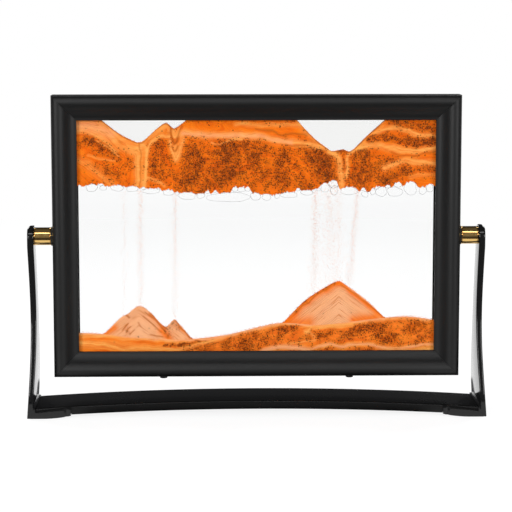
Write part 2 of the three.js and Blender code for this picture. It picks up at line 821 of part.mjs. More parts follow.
function arms() {
  return [['left_arm', -1], ['right_arm', 1]].map(([name, side]) => {
    const foot = cut(footBlock(side), [footPocket(side), ...rimCutters(side)]);
    const outward = side * Math.PI / 2;
    const bore = rod(runBore, armInner - cutPast, armOuter + cutPast);
    const sinkFloor = armOuter - pinHeadSink - pinHeadHeight - runFit;
    const sink = rod(pinHeadRadius + 2 * runFit, sinkFloor, armOuter + cutPast);
    const drills = [bore, sink].map((tool) => tool.rotateY(outward).translate(0, 0, pivotHeight));
    return piece(name, cut(join([armStrap(side), foot]), drills), standPlastic());
  });
}

// Base plate: an arched board with well rounded long edges, thinned at both ends where it lies in the feet.
function plateTop(x) {
  return plateCrown - plateArch * (x / plateHalfLength) ** 2;
}

function plateRing(x, low) {
  const high = plateTop(x);
  const radius = Math.min(plateEdgeRound, roundShare * (high - low));
  return roundedRectangle(-plateHalfDepth, plateHalfDepth, low, high, radius).map(
    ([y, z]) => new THREE.Vector3(x, y, z),
  );
}

function basePlate() {
  const span = Array.from({ length: plateSteps + 1 }, (_, k) => (2 * k / plateSteps - 1) * rebateStart);
  const endStart = rebateStart + rebateRun;
  const ends = Array.from({ length: plateEndSteps + 1 }, (_, k) => (
    endStart + k / plateEndSteps * (plateHalfLength - endStart)
  ));
  const rings = [
    ...ends.slice().reverse().map((x) => plateRing(-x, rebateHeight)),
    ...span.map((x) => plateRing(x, plateTop(x) - plateThickness)),
    ...ends.map((x) => plateRing(x, rebateHeight)),
  ];
  return piece('base_plate', loft(rings), standPlastic());
}

// Assembly: the stand stays, and everything in the picture group turns about the pivots.
const stand = new THREE.Group();
stand.add(basePlate(), ...arms(), ...barrels());

const picture = new THREE.Group();
picture.position.set(0, 0, pivotHeight);
picture.add(
  ...frameRails(),
  ...cornerKeys(),
  ...panes(),
  gasket(),
  ...fillPlugs(),
  upperSand(),
  ...lowerSand(),
  ...streams(),
  ...bubbles(),
  ...liquids(),
  ...turningPivotPieces(),
);

const sandPicture = new THREE.Group();
sandPicture.add(stand, picture);

export default sandPicture;
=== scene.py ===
# %% [markdown]
# # A moving sand picture
# A black moulded frame holds two panes of glass, and between them are liquid, coloured sand and trapped
# air. The frame turns end over end on two brass barrels between the arms of a stand, and the sand runs down
# past the bubbles and builds new hills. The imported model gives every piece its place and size. This script
# gives each piece its finish, its soft edges and its grain.

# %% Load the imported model
import json
import math

import bmesh
import bpy
import numpy as np
from mathutils import Matrix, Vector, noise


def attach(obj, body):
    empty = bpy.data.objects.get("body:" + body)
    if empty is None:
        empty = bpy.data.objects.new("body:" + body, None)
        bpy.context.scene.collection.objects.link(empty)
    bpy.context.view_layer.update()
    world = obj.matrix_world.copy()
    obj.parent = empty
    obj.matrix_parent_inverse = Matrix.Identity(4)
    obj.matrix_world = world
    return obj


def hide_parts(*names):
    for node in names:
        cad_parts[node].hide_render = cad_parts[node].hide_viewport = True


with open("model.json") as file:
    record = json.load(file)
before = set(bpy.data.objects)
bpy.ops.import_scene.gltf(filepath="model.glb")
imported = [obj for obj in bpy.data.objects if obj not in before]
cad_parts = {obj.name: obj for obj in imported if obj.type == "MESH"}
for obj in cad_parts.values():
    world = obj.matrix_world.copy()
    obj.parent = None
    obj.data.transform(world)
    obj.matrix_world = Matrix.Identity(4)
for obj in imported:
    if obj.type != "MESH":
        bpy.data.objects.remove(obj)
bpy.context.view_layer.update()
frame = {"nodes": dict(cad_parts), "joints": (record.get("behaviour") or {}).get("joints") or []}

MM = 0.001
QUARTER_TURN = math.pi / 2
scene = bpy.context.scene


def link(name, data):
    thing = bpy.data.objects.new(name, data)
    scene.collection.objects.link(thing)
    return thing


# %% [markdown]
# ## The camera
# A photograph of a flat picture shows at once if the camera is wrong, because the four sides of the frame
# stop being parallel in the right way. The place and the three angles below were fitted to the frame's
# edges. A long lens from a metre away keeps the sides almost straight.

# %% Camera
IMAGE_WIDTH, FOCAL_PIXELS = 512, 1880
CAMERA_PLACE = Vector((-24, -1036, 222)) * MM
YAW, PITCH, ROLL = (math.radians(angle) for angle in (1.31, 7.39, -0.03))
camera = link("camera", bpy.data.cameras.new("camera"))
scene.camera = camera
camera.data.sensor_width = 36
camera.data.lens = FOCAL_PIXELS * camera.data.sensor_width / IMAGE_WIDTH
camera.data.clip_end = 50
forward = Vector((math.sin(YAW) * math.cos(PITCH), math.cos(YAW) * math.cos(PITCH), -math.sin(PITCH)))
level = Vector((math.cos(YAW), -math.sin(YAW), 0))
right = level * math.cos(ROLL) + level.cross(forward) * math.sin(ROLL)
axes = Matrix((right, right.cross(forward), -forward)).transposed()
camera.matrix_world = Matrix.Translation(CAMERA_PLACE) @ axes.to_4x4()
scene.view_settings.view_transform = "Standard"
print("lens", round(camera.data.lens, 1), "mm")

# %% [markdown]
# ## A small kit for nodes
# Shader maths is easier to read as sums than as a list of links. `Value` wraps one output socket, so `1 -
# mask` adds a Math node by itself, and `out` gives another output of the same node. `Nodes.node` makes
# every other kind of node from its type, its settings and what goes into its sockets. The same kit builds
# materials, the world and the trees of Geometry Nodes.

# %% Values
class Value:
    def __init__(self, nodes, socket):
        self.nodes = nodes
        self.socket = socket

    def out(self, name):
        return Value(self.nodes, self.socket.node.outputs[name])

    def math(self, operation, *values):
        return self.nodes.node("ShaderNodeMath", {"operation": operation}, dict(enumerate(values)))

    def highest(self, other):
        return self.math("MAXIMUM", self, other)

    def __add__(self, other):
        return self.math("ADD", self, other)

    __radd__ = __add__

    def __sub__(self, other):
        return self.math("SUBTRACT", self, other)

    def __rsub__(self, other):
        return self.math("SUBTRACT", other, self)

    def __mul__(self, other):
        return self.math("MULTIPLY", self, other)

    __rmul__ = __mul__

    def __truediv__(self, other):
        return self.math("DIVIDE", self, other)

    def __pow__(self, other):
        return self.math("POWER", self, other)

    def __lt__(self, other):
        return self.math("LESS_THAN", self, other)


print("values ready")

# %% Node kit
class Nodes:
    def __init__(self, tree):
        self.tree = tree
        tree.nodes.clear()

    def node(self, kind, settings=None, sockets=None, out=0):
        made = self.tree.nodes.new(kind)
        for key, value in (settings or {}).items():
            setattr(made, key, value)
        for key, value in (sockets or {}).items():
            if isinstance(value, Value):
                self.tree.links.new(value.socket, made.inputs[key])
            else:
                made.inputs[key].default_value = value
        return Value(self, made.outputs[out]) if len(made.outputs) else None

    def part(self, vector, axis):
        return self.node("ShaderNodeSeparateXYZ", {}, {"Vector": vector}, axis)

    def channel(self, picture, name):
        return self.node("ShaderNodeSeparateColor", {}, {"Color": picture}, name)

    def painted(self, name):
        return self.node("ShaderNodeAttribute", {"attribute_name": name}, out="Fac")

    def blend(self, share, low, high):
        return self.node("ShaderNodeMix", {"data_type": "RGBA"}, {0: share, 6: low, 7: high}, out=2)

    def noise(self, place, size, detail=2.0):
        sockets = {"Vector": place, "Scale": 1 / size, "Detail": detail}
        return self.node("ShaderNodeTexNoise", {}, sockets, "Fac")

    def grains(self, place, size, out="Color"):
        return self.node("ShaderNodeTexVoronoi", {}, {"Vector": place, "Scale": 1 / size}, out)

    def between(self, value, low, high):
        sockets = {"Value": value, "From Min": low, "From Max": high}
        return self.node("ShaderNodeMapRange", {"interpolation_type": "SMOOTHSTEP"}, sockets)

    def bump(self, height, depth):
        return self.node("ShaderNodeBump", {}, {"Height": height, "Distance": depth, "Strength": 0.5})

    def mix(self, share, first, second):
        return self.node("ShaderNodeMixShader", {}, {0: share, 1: first, 2: second})

    def surface(self, shader):
        self.node("ShaderNodeOutputMaterial", {}, {"Surface": shader})

    def principled(self, sockets):
        self.surface(self.node("ShaderNodeBsdfPrincipled", {}, sockets))


def colour(red, green, blue):
    return (red, green, blue, 1.0)


def grey(level):
    return colour(level, level, level)


def new_finish(name):
    material = bpy.data.materials.new(name)
    material.use_nodes = True
    nodes = Nodes(material.node_tree)
    place = nodes.node("ShaderNodeTexCoord", out="Object")
    return material, nodes, place


print("node kit ready")

# %% [markdown]
# ## The studio
# The picture stands on a pale floor in a dim room. A pure white surround could be made with strong lamps,
# but then the sand would burn out. Light Path lets the floor and the world be white to the camera and to
# what is seen through the glass, while the lamps stay at a plain level. Black plastic looks like whatever
# it mirrors, so the floor carries painted reflections: to mirrored rays it is painted dark in front of the
# stand, except for two bright patches beside the feet and a pale band before them, and it has a strip of
# painted shadow behind each foot. Two softboxes and a high strip light the front, and two more softboxes
# light the tops and the back.

# %% World
ROOM_SIDES = colour(0.10, 0.10, 0.105)
ROOM_FRONT = colour(0.17, 0.17, 0.175)
ROOM_REAR = colour(0.04, 0.04, 0.042)
world = bpy.data.worlds.new("studio")
scene.world = world
world.use_nodes = True
nodes = Nodes(world.node_tree)
rays = nodes.node("ShaderNodeLightPath")
seen = rays.out("Is Camera Ray").highest(rays.out("Is Transmission Ray"))
rearward = nodes.part(nodes.node("ShaderNodeTexCoord"), "Y")
room = nodes.blend(nodes.between(rearward, -0.45, -0.9), ROOM_SIDES, ROOM_FRONT)
room = nodes.blend(nodes.between(rearward, 0.1, 0.5), room, ROOM_REAR)
lit = nodes.node("ShaderNodeBackground", {}, {"Color": room})
white = nodes.node("ShaderNodeBackground", {}, {"Color": grey(1)})
nodes.node("ShaderNodeOutputWorld", {}, {"Surface": nodes.mix(seen, lit, white)})
print("world", world.name, len(nodes.tree.nodes), "nodes")

# %% Floor
FLOOR_HALF, FLOOR_FRONT = 6, -0.4
FADE_TO_WHITE = (0.2, 1.0)
DIM_BEFORE = (0.01, -0.005)
BRIGHT_PATCHES_ASIDE_SQUARED, BRIGHT_PATCHES_DEPTH = (0.0075, 0.0105), (-0.11, -0.075)
BAND_REAR, BAND_FRONT, BAND_SHARE = (-0.04, -0.055), (-0.105, -0.08), 0.65
SHADOW_STRIP_ASIDE_SQUARED, SHADOW_STRIP_FRONT, SHADOW_STRIP_REAR = (0.01416, 0.0144), (0.015, 0.03), (0.10, 0.08)
floor_finish, nodes, place = new_finish("studio_floor")
rays = nodes.node("ShaderNodeLightPath")
mirrored = rays.out("Is Glossy Ray")
seen = rays.out("Is Camera Ray").highest(mirrored).highest(rays.out("Is Transmission Ray"))
away = nodes.node("ShaderNodeVectorMath", {"operation": "LENGTH"}, {0: place}, out="Value")
far = nodes.between(away, *FADE_TO_WHITE)
aside, depth = nodes.part(place, "X"), nodes.part(place, "Y")
aside_squared = aside * aside
# Painted reflections: mirrored rays see the floor dark in front, except two bright patches and a pale band.
bright_patches = nodes.between(aside_squared, *BRIGHT_PATCHES_ASIDE_SQUARED) * nodes.between(depth, *BRIGHT_PATCHES_DEPTH)
band = nodes.between(depth, *BAND_REAR) * nodes.between(depth, *BAND_FRONT) * BAND_SHARE
before = nodes.between(depth, *DIM_BEFORE) * (1 - bright_patches) * (1 - band)
# Painted shadow for mirrored rays: a dark strip behind each foot.
gap = nodes.between(depth, *SHADOW_STRIP_FRONT) * nodes.between(depth, *SHADOW_STRIP_REAR)
gap = gap * nodes.between(aside_squared, *SHADOW_STRIP_ASIDE_SQUARED)
reflected = nodes.blend(before.highest(gap), grey(0.95), colour(0.05, 0.05, 0.052))
white = nodes.blend(mirrored, nodes.blend(far, grey(0.87), grey(1)), reflected)
glow = nodes.node("ShaderNodeEmission", {}, {"Color": white})
thin = nodes.blend(far.highest(mirrored), grey(0.25), grey(0))
thin_paint = nodes.node("ShaderNodeBsdfDiffuse", {}, {"Color": thin})
full_paint = nodes.node("ShaderNodeBsdfDiffuse", {}, {"Color": grey(0.90)})
shown = nodes.node("ShaderNodeAddShader", {}, {0: thin_paint, 1: glow})
nodes.surface(nodes.mix(seen, full_paint, shown))
floor_mesh = bpy.data.meshes.new("studio_floor")
floor_mesh.from_pydata([
    (-FLOOR_HALF, FLOOR_FRONT, 0), (FLOOR_HALF, FLOOR_FRONT, 0),
    (FLOOR_HALF, FLOOR_HALF, 0), (-FLOOR_HALF, FLOOR_HALF, 0),
], [], [(0, 1, 2, 3)])
floor_mesh.materials.append(floor_finish)
floor = link("studio_floor", floor_mesh)
print("floor", floor.name, len(nodes.tree.nodes), "nodes")

# %% Lamps
LAMP_AIM = Vector((0, 0, 0.1))
softboxes = {
    "left_softbox": ((-0.72, -1.30, 0.46), (0.55, 0.5), 11.2),
    "right_softbox": ((0.84, -1.36, 0.44), (0.6, 0.5), 10.2),
    "high_strip": ((0.03, -1.15, 1.32), (1.0, 0.26), 4),
    "rear_left_softbox": ((-0.85, 1.1, 1.05), (0.7, 0.5), 11),
    "rear_right_softbox": ((0.85, 1.1, 1.05), (0.7, 0.5), 11),
}
for name, (place, size, watts) in softboxes.items():
    lamp = bpy.data.lights.new(name, "AREA")
    lamp.shape = "RECTANGLE"
    lamp.size, lamp.size_y = size
    lamp.energy = watts
    holder = link(name, lamp)
    holder.location = place
    holder.rotation_mode = "QUATERNION"
    holder.rotation_quaternion = (LAMP_AIM - Vector(place)).to_track_quat("-Z", "Y")
print("lamps", list(softboxes))

# %% [markdown]
# ## Finishes: black plastics
# The frame is a satin extrusion and the stand a glossier moulding, both almost black. On black plastic the
# colour hardly shows, so the reflections make the look: a fine grain in the bump breaks them up, and slow
# changes of roughness stand for handling. Each varying value goes only into sockets that can be baked.

# %% Black plastics
SMUDGE_SIZE = 0.03


def black_plastic(name, shade, rough, uneven, grain, depth, shine=0.5, lacquer=0.0):
    material, nodes, place = new_finish(name)
    smudge = nodes.noise(place, SMUDGE_SIZE, 4)
    fine = nodes.noise(place, grain, 3)
    nodes.principled({
        "Base Color": nodes.blend(fine, grey(shade * 0.7), grey(shade * 1.3)),
        "Roughness": rough + (smudge - 0.5) * uneven,
        "Specular IOR Level": shine,
        "Coat Weight": lacquer,
        "Coat IOR": 1.38,
        "Coat Roughness": 0.06,
        "Normal": nodes.bump(fine, depth),
    })
    return material


frame_plastic = black_plastic(
    "frame_satin_black", shade=0.005, rough=0.46, uneven=0.12, grain=0.0004, depth=0.00002, shine=0.35,
)
stand_plastic = black_plastic(
    "stand_gloss_black", shade=0.005, rough=0.2, uneven=0.10, grain=0.0011, depth=0.000012, shine=0.08,
    lacquer=1.0,
)
plate_plastic = black_plastic(
    "plate_satin_black", shade=0.004, rough=0.26, uneven=0.10, grain=0.0009, depth=0.000015, shine=0.2,
)
key_plastic = black_plastic("key_grey", shade=0.25, rough=0.6, uneven=0.1, grain=0.0005, depth=0.00002)
seal_rubber = black_plastic("seal_rubber", shade=0.012, rough=0.75, uneven=0.1, grain=0.0003, depth=0.00003)
print("plastics", frame_plastic.name, stand_plastic.name, plate_plastic.name, key_plastic.name)

# %% [markdown]
# ## Finishes: brass and steel
# The barrels are turned and polished. A lathe leaves fine rings round the axis, so the bump is a noise that
# only changes along X. A real groove per tool mark would be far too many faces for what the eye sees.

# %% Metals
MARK_SIZE, MARK_DEPTH, CLOUD_SIZE = 0.00012, 0.000006, 0.004
ROUND_THE_AXIS = (1, 0.02, 0.02)


def turned_metal(name, dark, light, rough):
    material, nodes, place = new_finish(name)
    rings = nodes.node("ShaderNodeMapping", {}, {"Vector": place, "Scale": ROUND_THE_AXIS})
    marks = nodes.noise(rings, MARK_SIZE, 3)
    cloud = nodes.noise(place, CLOUD_SIZE, 4)
    nodes.principled({
        "Base Color": nodes.blend(cloud, dark, light),
        "Metallic": 1.0,
        "Roughness": rough + cloud * 0.08 + marks * 0.06,
        "Normal": nodes.bump(marks, MARK_DEPTH),
    })
    return material


brass = turned_metal("polished_brass", colour(0.80, 0.47, 0.13), colour(0.93, 0.64, 0.25), 0.06)
pin_steel = turned_metal("pin_steel", colour(0.42, 0.42, 0.43), colour(0.60, 0.60, 0.61), 0.26)
print("metals", brass.name, pin_steel.name)

# %% [markdown]
# ## Finishes: glass, liquid and air
# Glass that bends light would shadow the sand from the lamps, and between two flat panes the bending hardly
# shows. So the panes are clear with a thin mirror layer. Seen at a slant, a Fresnel node takes the far side
# of such a pane for a full mirror, so the share of mirror is a power of Layer Weight's Facing value, which
# is the same on both sides. A bubble gets a thin grey outline of painted shade where its skin turns away
# from the eye, darkest on its underside. The same Facing value finds that edge.

# %% Clear finishes
PANE_MIRROR, PANE_EDGE_MIRROR = 0.006, 0.2
LIQUID_MIRROR = 0.004


def clear(name, tint, mirror_share):
    material, nodes, place = new_finish(name)
    through = nodes.node("ShaderNodeBsdfTransparent", {}, {"Color": tint})
    gloss = nodes.node("ShaderNodeBsdfGlossy", {}, {"Roughness": 0.03})
    nodes.surface(nodes.mix(mirror_share(nodes, place), through, gloss))
    return material


def facing(nodes):
    return nodes.node("ShaderNodeLayerWeight", {}, {"Blend": 0.5}, "Facing")


def pane_share(nodes, place):
    return (PANE_MIRROR + PANE_EDGE_MIRROR * facing(nodes) ** 5) * (0.9 + nodes.noise(place, 0.05) * 0.2)


def liquid_share(nodes, place):
    return nodes.noise(place, 0.02) * LIQUID_MIRROR


pane_glass = clear("pane_glass", colour(0.993, 0.994, 0.994), pane_share)
clear_liquid = clear("clear_liquid", grey(0.998), liquid_share)
# The crater liquid is tinted a little darker than the clear liquid: painted shade over the craters.
crater_liquid = clear("crater_liquid", colour(0.970, 0.968, 0.964), liquid_share)

bubble_skin, nodes, place = new_finish("bubble_skin")
# Painted shade: a grey outline at the bubble's edge, darkest on its underside.
edge = nodes.between(facing(nodes), 0.45, 0.95)
under = nodes.between(nodes.part(nodes.node("ShaderNodeNewGeometry", out="Normal"), "Z"), 0.3, -0.6)
outline = edge * (0.2 + under * 0.7) * nodes.noise(place, 0.002) * 1.8
through = nodes.node("ShaderNodeBsdfTransparent", {}, {"Color": grey(1)})
shade = nodes.node("ShaderNodeBsdfDiffuse", {}, {"Color": colour(0.24, 0.24, 0.25)})
nodes.surface(nodes.mix(outline, through, shade))
print("clear finishes", pane_glass.name, clear_liquid.name, crater_liquid.name, bubble_skin.name)

# %% [markdown]
# ## Finishes: sand
# The sand is one heap of orange grains with paler and darker ones that sort themselves as they fall. Where
# each kind lies is painted on the mesh later, as the attributes `pale`, `dark`, `deep` and `ash`. A fifth
# one, `flow`, is the distance across the strokes, so a noise that reads it draws fine lines along them. The
# shader turns the shares into grains: every cell of a Voronoi texture draws a random number, and is a dark
# grain if that number is below the share of dark sand at its place. So specks stay sharp however coarse the
# mesh is. A slow noise gathers the dark grains in patches.

# %% Sand
ORANGE, BRIGHT_ORANGE = colour(0.82, 0.110, 0.001), colour(0.96, 0.200, 0.005)
PALE, ASH = colour(0.97, 0.41, 0.092), colour(0.93, 0.50, 0.270)
SEAM, DEEP = colour(0.62, 0.13, 0.006), colour(0.30, 0.06, 0.008)
DARK, SPECK = colour(0.31, 0.040, 0.001), colour(0.05, 0.011, 0.003)
TWINKLE = colour(0.98, 0.42, 0.08)
LAYER_SIZE, SEAM_SIZE, PATCH_SIZE, TWINKLE_SIZE = 0.0009, 0.0006, 0.0030, 0.0004
SPECK_SIZES_AND_SHARES = ((0.0010, 0.8), (0.0008, 1.0), (0.00062, 0.9))
SPECK_REACH, FREE_OF_SPECKS = 0.42, 0.045
GRAIN_SIZE, GRAIN_DEPTH = 0.00045, 0.00012
sand, nodes, place = new_finish("dyed_sand")
pale, dark, deep, ash, flow = (nodes.painted(tone) for tone in ("pale", "dark", "deep", "ash", "flow"))
lanes = nodes.node("ShaderNodeCombineXYZ", {}, {"X": flow, "Y": nodes.part(place, "X") * 0.06})
layers = nodes.between(nodes.noise(lanes, LAYER_SIZE, 4), 0.3, 0.7)
seams = nodes.between(nodes.noise(lanes, SEAM_SIZE), 0.58, 0.70)
patch = nodes.between(nodes.noise(place, PATCH_SIZE, 3), 0.34, 0.68)
twinkle = nodes.channel(nodes.grains(place, TWINKLE_SIZE), "Green")
body = nodes.blend(layers, ORANGE, BRIGHT_ORANGE)
body = nodes.blend(pale * (0.65 + layers * 0.6), body, PALE)
body = nodes.blend(ash, body, ASH)
body = nodes.blend(seams * (ash * 0.9 + pale * 0.35 + 0.1), body, SEAM)
body = nodes.blend(deep, body, DEEP)
body = nodes.blend(dark * (0.66 + patch * 0.34), body, DARK)
for size, share in SPECK_SIZES_AND_SHARES:
    cell = nodes.grains(place, size)
    likely = (dark - FREE_OF_SPECKS) * share * (0.68 + patch * 0.54)
    speck = (nodes.channel(cell, "Red") < likely) * (cell.out("Distance") < SPECK_REACH)
    body = nodes.blend(speck * (0.6 + nodes.channel(cell, "Green") * 0.4), body, SPECK)
nodes.principled({
    "Base Color": nodes.blend(twinkle * 0.07, body, TWINKLE),
    "Roughness": 0.85 + twinkle * 0.1,
    "Specular IOR Level": 0.05,
    "Normal": nodes.bump(nodes.grains(place, GRAIN_SIZE, "Distance"), GRAIN_DEPTH),
})
print("sand", len(nodes.tree.nodes), "nodes")

# %% [markdown]
# ## Making pieces
# Every piece is drawn in millimetres, as on a drawing, and turned into metres when its mesh is made. A mesh
# keeps smooth shading except where two faces meet at a clear edge. `settle` turns modifiers into plain
# geometry, so that nothing is left to be computed later.

# %% Mesh helpers
CLEAR_EDGE, NEARLY_HALF = 32, 0.48


def smooth(mesh, sharp=CLEAR_EDGE):
    mesh.shade_smooth()
    mesh.set_sharp_from_angle(angle=math.radians(sharp))


def new_piece(name, corners, faces, finish, sharp=CLEAR_EDGE):
    mesh = bpy.data.meshes.new(name)
    mesh.from_pydata((np.asarray(corners, float) * MM).tolist(), [], faces)
    work = bmesh.new()
    work.from_mesh(mesh)
    bmesh.ops.remove_doubles(work, verts=work.verts, dist=1e-7)
    bmesh.ops.recalc_face_normals(work, faces=work.faces)
    work.to_mesh(mesh)
    work.free()
    mesh.materials.append(finish)
    smooth(mesh, sharp)
    return link(name, mesh)


def settle(piece):
    ready = piece.evaluated_get(bpy.context.evaluated_depsgraph_get())
    mesh = bpy.data.meshes.new_from_object(ready)
    piece.modifiers.clear()
    piece.data = mesh
    smooth(mesh)
    return piece


print("meshes stay smooth up to", CLEAR_EDGE, "degrees")

# %% Cut, soften and fit
def carve(piece, tools):
    for tool in tools:
        cut = piece.modifiers.new("cut", "BOOLEAN")
        cut.object = tool
        cut.solver = "EXACT"
    settle(piece)
    for tool in tools:
        bpy.data.objects.remove(tool)
    return piece


def soften(piece, width):
    bevel = piece.modifiers.new("soft edges", "BEVEL")
    bevel.width = width * MM
    bevel.segments = 2
    bevel.limit_method = "ANGLE"
    bevel.angle_limit = math.radians(30)
    return settle(piece)


def fit(piece, body, slot, *nodes_replaced):
    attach(piece, body)
    if nodes_replaced:
        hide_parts(*nodes_replaced)
    print(piece.name, len(piece.data.polygons), "faces")
    return piece


print("tools for cutting and softening ready")

# %% Lofts
def loft(rings):
    count = len(rings[0])
    corners = [point for ring in rings for point in ring]
    faces = [
        (r * count + i, r * count + (i + 1) % count, (r + 1) * count + (i + 1) % count, (r + 1) * count + i)
        for r in range(len(rings) - 1) for i in range(count)
    ]
    last = (len(rings) - 1) * count
    return corners, [*faces, tuple(range(count)), tuple(range(last, last + count))]


def rounded_rectangle(low_a, high_a, low_b, high_b, radius, steps=6):
    points = []
    for quarter, (a, b) in enumerate(((high_a, high_b), (low_a, high_b), (low_a, low_b), (high_a, low_b))):
        middle = (a - math.copysign(radius, a - (low_a + high_a) / 2),
                  b - math.copysign(radius, b - (low_b + high_b) / 2))
        for k in range(steps + 1):
            angle = (quarter + k / steps) * QUARTER_TURN
            points.append((middle[0] + radius * math.cos(angle), middle[1] + radius * math.sin(angle)))
    return points


print("lofts ready")

# %% [markdown]
# ## Rails: one moulding, four lengths
# The frame is one extruded moulding, sawn at 45 degrees. A modeller could draw four bodies, but a rule is
# shorter: sweep the section along a line, then push every point of the two ends inward by its own distance
# from the outer side. Geometry Nodes does just that, and the same tree makes the long and the short rails.

# %% Moulding section
FRAME_WIDTH, FRAME_HEIGHT, FRAME_DEPTH = 225, 156, 20
RAIL_WIDTH = 13.8
PIVOT_HEIGHT = frame["joints"][0]["pos_m"][2] / MM


def bend(start, handle, end, steps=10):
    t = np.linspace(0, 1, steps + 1)[1:, None]
    start, handle, end = np.array(start), np.array(handle), np.array(end)
    return ((1 - t) ** 2 * start + 2 * t * (1 - t) * handle + t ** 2 * end).tolist()


half_depth, shoulder, ridge, cove, cove_drop = FRAME_DEPTH / 2, 3.6, 3.6, 8.4, 2.3
lip, lip_round, channel_half, seat, key_half, wall = 5.35, 0.6, 4.15, 5.0, 2.2, 5.2
face = [[0, half_depth - shoulder]]
face += bend(face[-1], [0, half_depth], [ridge, half_depth])
face += bend(face[-1], [(ridge + cove) / 2, half_depth], [cove, half_depth - cove_drop])
face += bend(face[-1], [(cove + RAIL_WIDTH) / 2, lip], [RAIL_WIDTH - lip_round, lip])
face += bend(face[-1], [RAIL_WIDTH, lip], [RAIL_WIDTH, lip - lip_round], 4)
face += [[RAIL_WIDTH, channel_half], [RAIL_WIDTH - seat, channel_half]]
face += [[RAIL_WIDTH - seat, key_half], [wall, key_half]]
section = face + [[inset, -across] for inset, across in reversed(face)]
print("section", len(section), "points")

# %% Tree helpers
def add_inputs(tree, inputs):
    tree.interface.new_socket("Geometry", in_out="INPUT", socket_type="NodeSocketGeometry")
    tree.interface.new_socket("Geometry", in_out="OUTPUT", socket_type="NodeSocketGeometry")
    ids = {}
    for label, kind in inputs.items():
        ids[label] = tree.interface.new_socket(label, in_out="INPUT", socket_type=kind).identifier
    return ids


def end_tree(nodes, given, geometry):
    single = nodes.node("GeometryNodeRealizeInstances", {}, {"Geometry": geometry})
    sockets = {"Geometry": single, "Material": given.out("Finish")}
    finished = nodes.node("GeometryNodeSetMaterial", {}, sockets)
    nodes.node("NodeGroupOutput", {}, {"Geometry": finished})


def grow(name, tree, ids, mesh, inputs):
    piece = link(name, mesh)
    modifier = piece.modifiers.new(tree.name, "NODES")
    modifier.node_group = tree
    for label, value in inputs.items():
        modifier[ids[label]] = value
    return settle(piece)


print("tree helpers ready")

# %% Rail tree
rail_tree = bpy.data.node_groups.new("mitred rail", "GeometryNodeTree")
rail_ids = add_inputs(rail_tree, {
    "Length": "NodeSocketFloat", "Mitre Gap": "NodeSocketFloat", "Turn": "NodeSocketVector",
    "Place": "NodeSocketVector", "Finish": "NodeSocketMaterial",
})
nodes = Nodes(rail_tree)
given = nodes.node("NodeGroupInput")
sweep = nodes.node("GeometryNodeCurveToMesh", {}, {
    "Curve": nodes.node("GeometryNodeCurvePrimitiveLine", {}, {"Start": (-1, 0, 0), "End": (1, 0, 0)}),
    "Profile Curve": nodes.node("GeometryNodeMeshToCurve", {}, {"Mesh": given}),
    "Fill Caps": True,
})
position = nodes.node("GeometryNodeInputPosition")
end, across, inset = (nodes.part(position, axis) for axis in "XYZ")
reach = inset + given.out("Length") / 2 - given.out("Mitre Gap") / 2
mitred = nodes.node("ShaderNodeCombineXYZ", {}, {"X": end * reach, "Y": across, "Z": inset})
sawn = nodes.node("GeometryNodeSetPosition", {}, {"Geometry": sweep, "Position": mitred})
end_tree(nodes, given, nodes.node("GeometryNodeTransform", {}, {
    "Geometry": sawn, "Rotation": given.out("Turn"), "Translation": given.out("Place"),
}))
print("tree", rail_tree.name, "with", list(rail_ids))

# %% Rails
MITRE_GAP = 0.1
moulding = bpy.data.meshes.new("moulding section")
moulding.from_pydata(
    [(across * MM, inset * MM, 0) for inset, across in section],
    [(k, (k + 1) % len(section)) for k in range(len(section))],
    [],
)
for quarter, rail in enumerate(("top_rail", "right_rail", "bottom_rail", "left_rail")):
    turn = quarter * QUARTER_TURN
    length, across = (FRAME_HEIGHT, FRAME_WIDTH) if quarter % 2 else (FRAME_WIDTH, FRAME_HEIGHT)
    piece = grow(f"{rail}_moulding", rail_tree, rail_ids, moulding.copy(), {
        "Length": length * MM,
        "Mitre Gap": MITRE_GAP * MM,
        "Turn": (0, turn, 0),
        "Place": (across / 2 * math.sin(turn) * MM, 0, (PIVOT_HEIGHT + across / 2 * math.cos(turn)) * MM),
        "Finish": frame_plastic,
    })
    fit(piece, "picture", "frame_plastic", rail)

# %% [markdown]
# ## Turned pieces: barrels, washers, pins and plugs
# These are lathe work, so each is a short list of radius and height that is spun round its axis. The pivot
# pieces lie along X, outward from the frame, and the plugs stand under the bottom rail. The barrels get the
# two thin beads at their ends, because that is where polished brass catches a bright ring.

# %% Lathe
HANDS = (("left", -1), ("right", 1))
LATHE_SIDES, LATHE_EDGE, CORNER_STEPS = 72, 40, 4


def turned(name, profile, finish, place, hollow=False):
    around = [k * 2 * math.pi / LATHE_SIDES for k in range(LATHE_SIDES)]
    corners = [place(r * math.cos(a), r * math.sin(a), h) for r, h in profile for a in around]
    count = len(profile)
    faces = []
    for ring in range(count if hollow else count - 1):
        low, high = ring * LATHE_SIDES, (ring + 1) % count * LATHE_SIDES
        for i in range(LATHE_SIDES):
            beside = (i + 1) % LATHE_SIDES
            faces.append((low + i, low + beside, high + beside, high + i))
    return new_piece(name, corners, faces, finish, LATHE_EDGE)


def along_pivot(side, start):
    return lambda x, y, h: (side * (start + h), x, PIVOT_HEIGHT + y)


def round_corner(radius, height, size, turn):
    angles = [turn + k / CORNER_STEPS * QUARTER_TURN for k in range(CORNER_STEPS + 1)]
    return [(radius + size * math.cos(a), height + size * math.sin(a)) for a in angles]


print("lathe with", LATHE_SIDES, "sides")

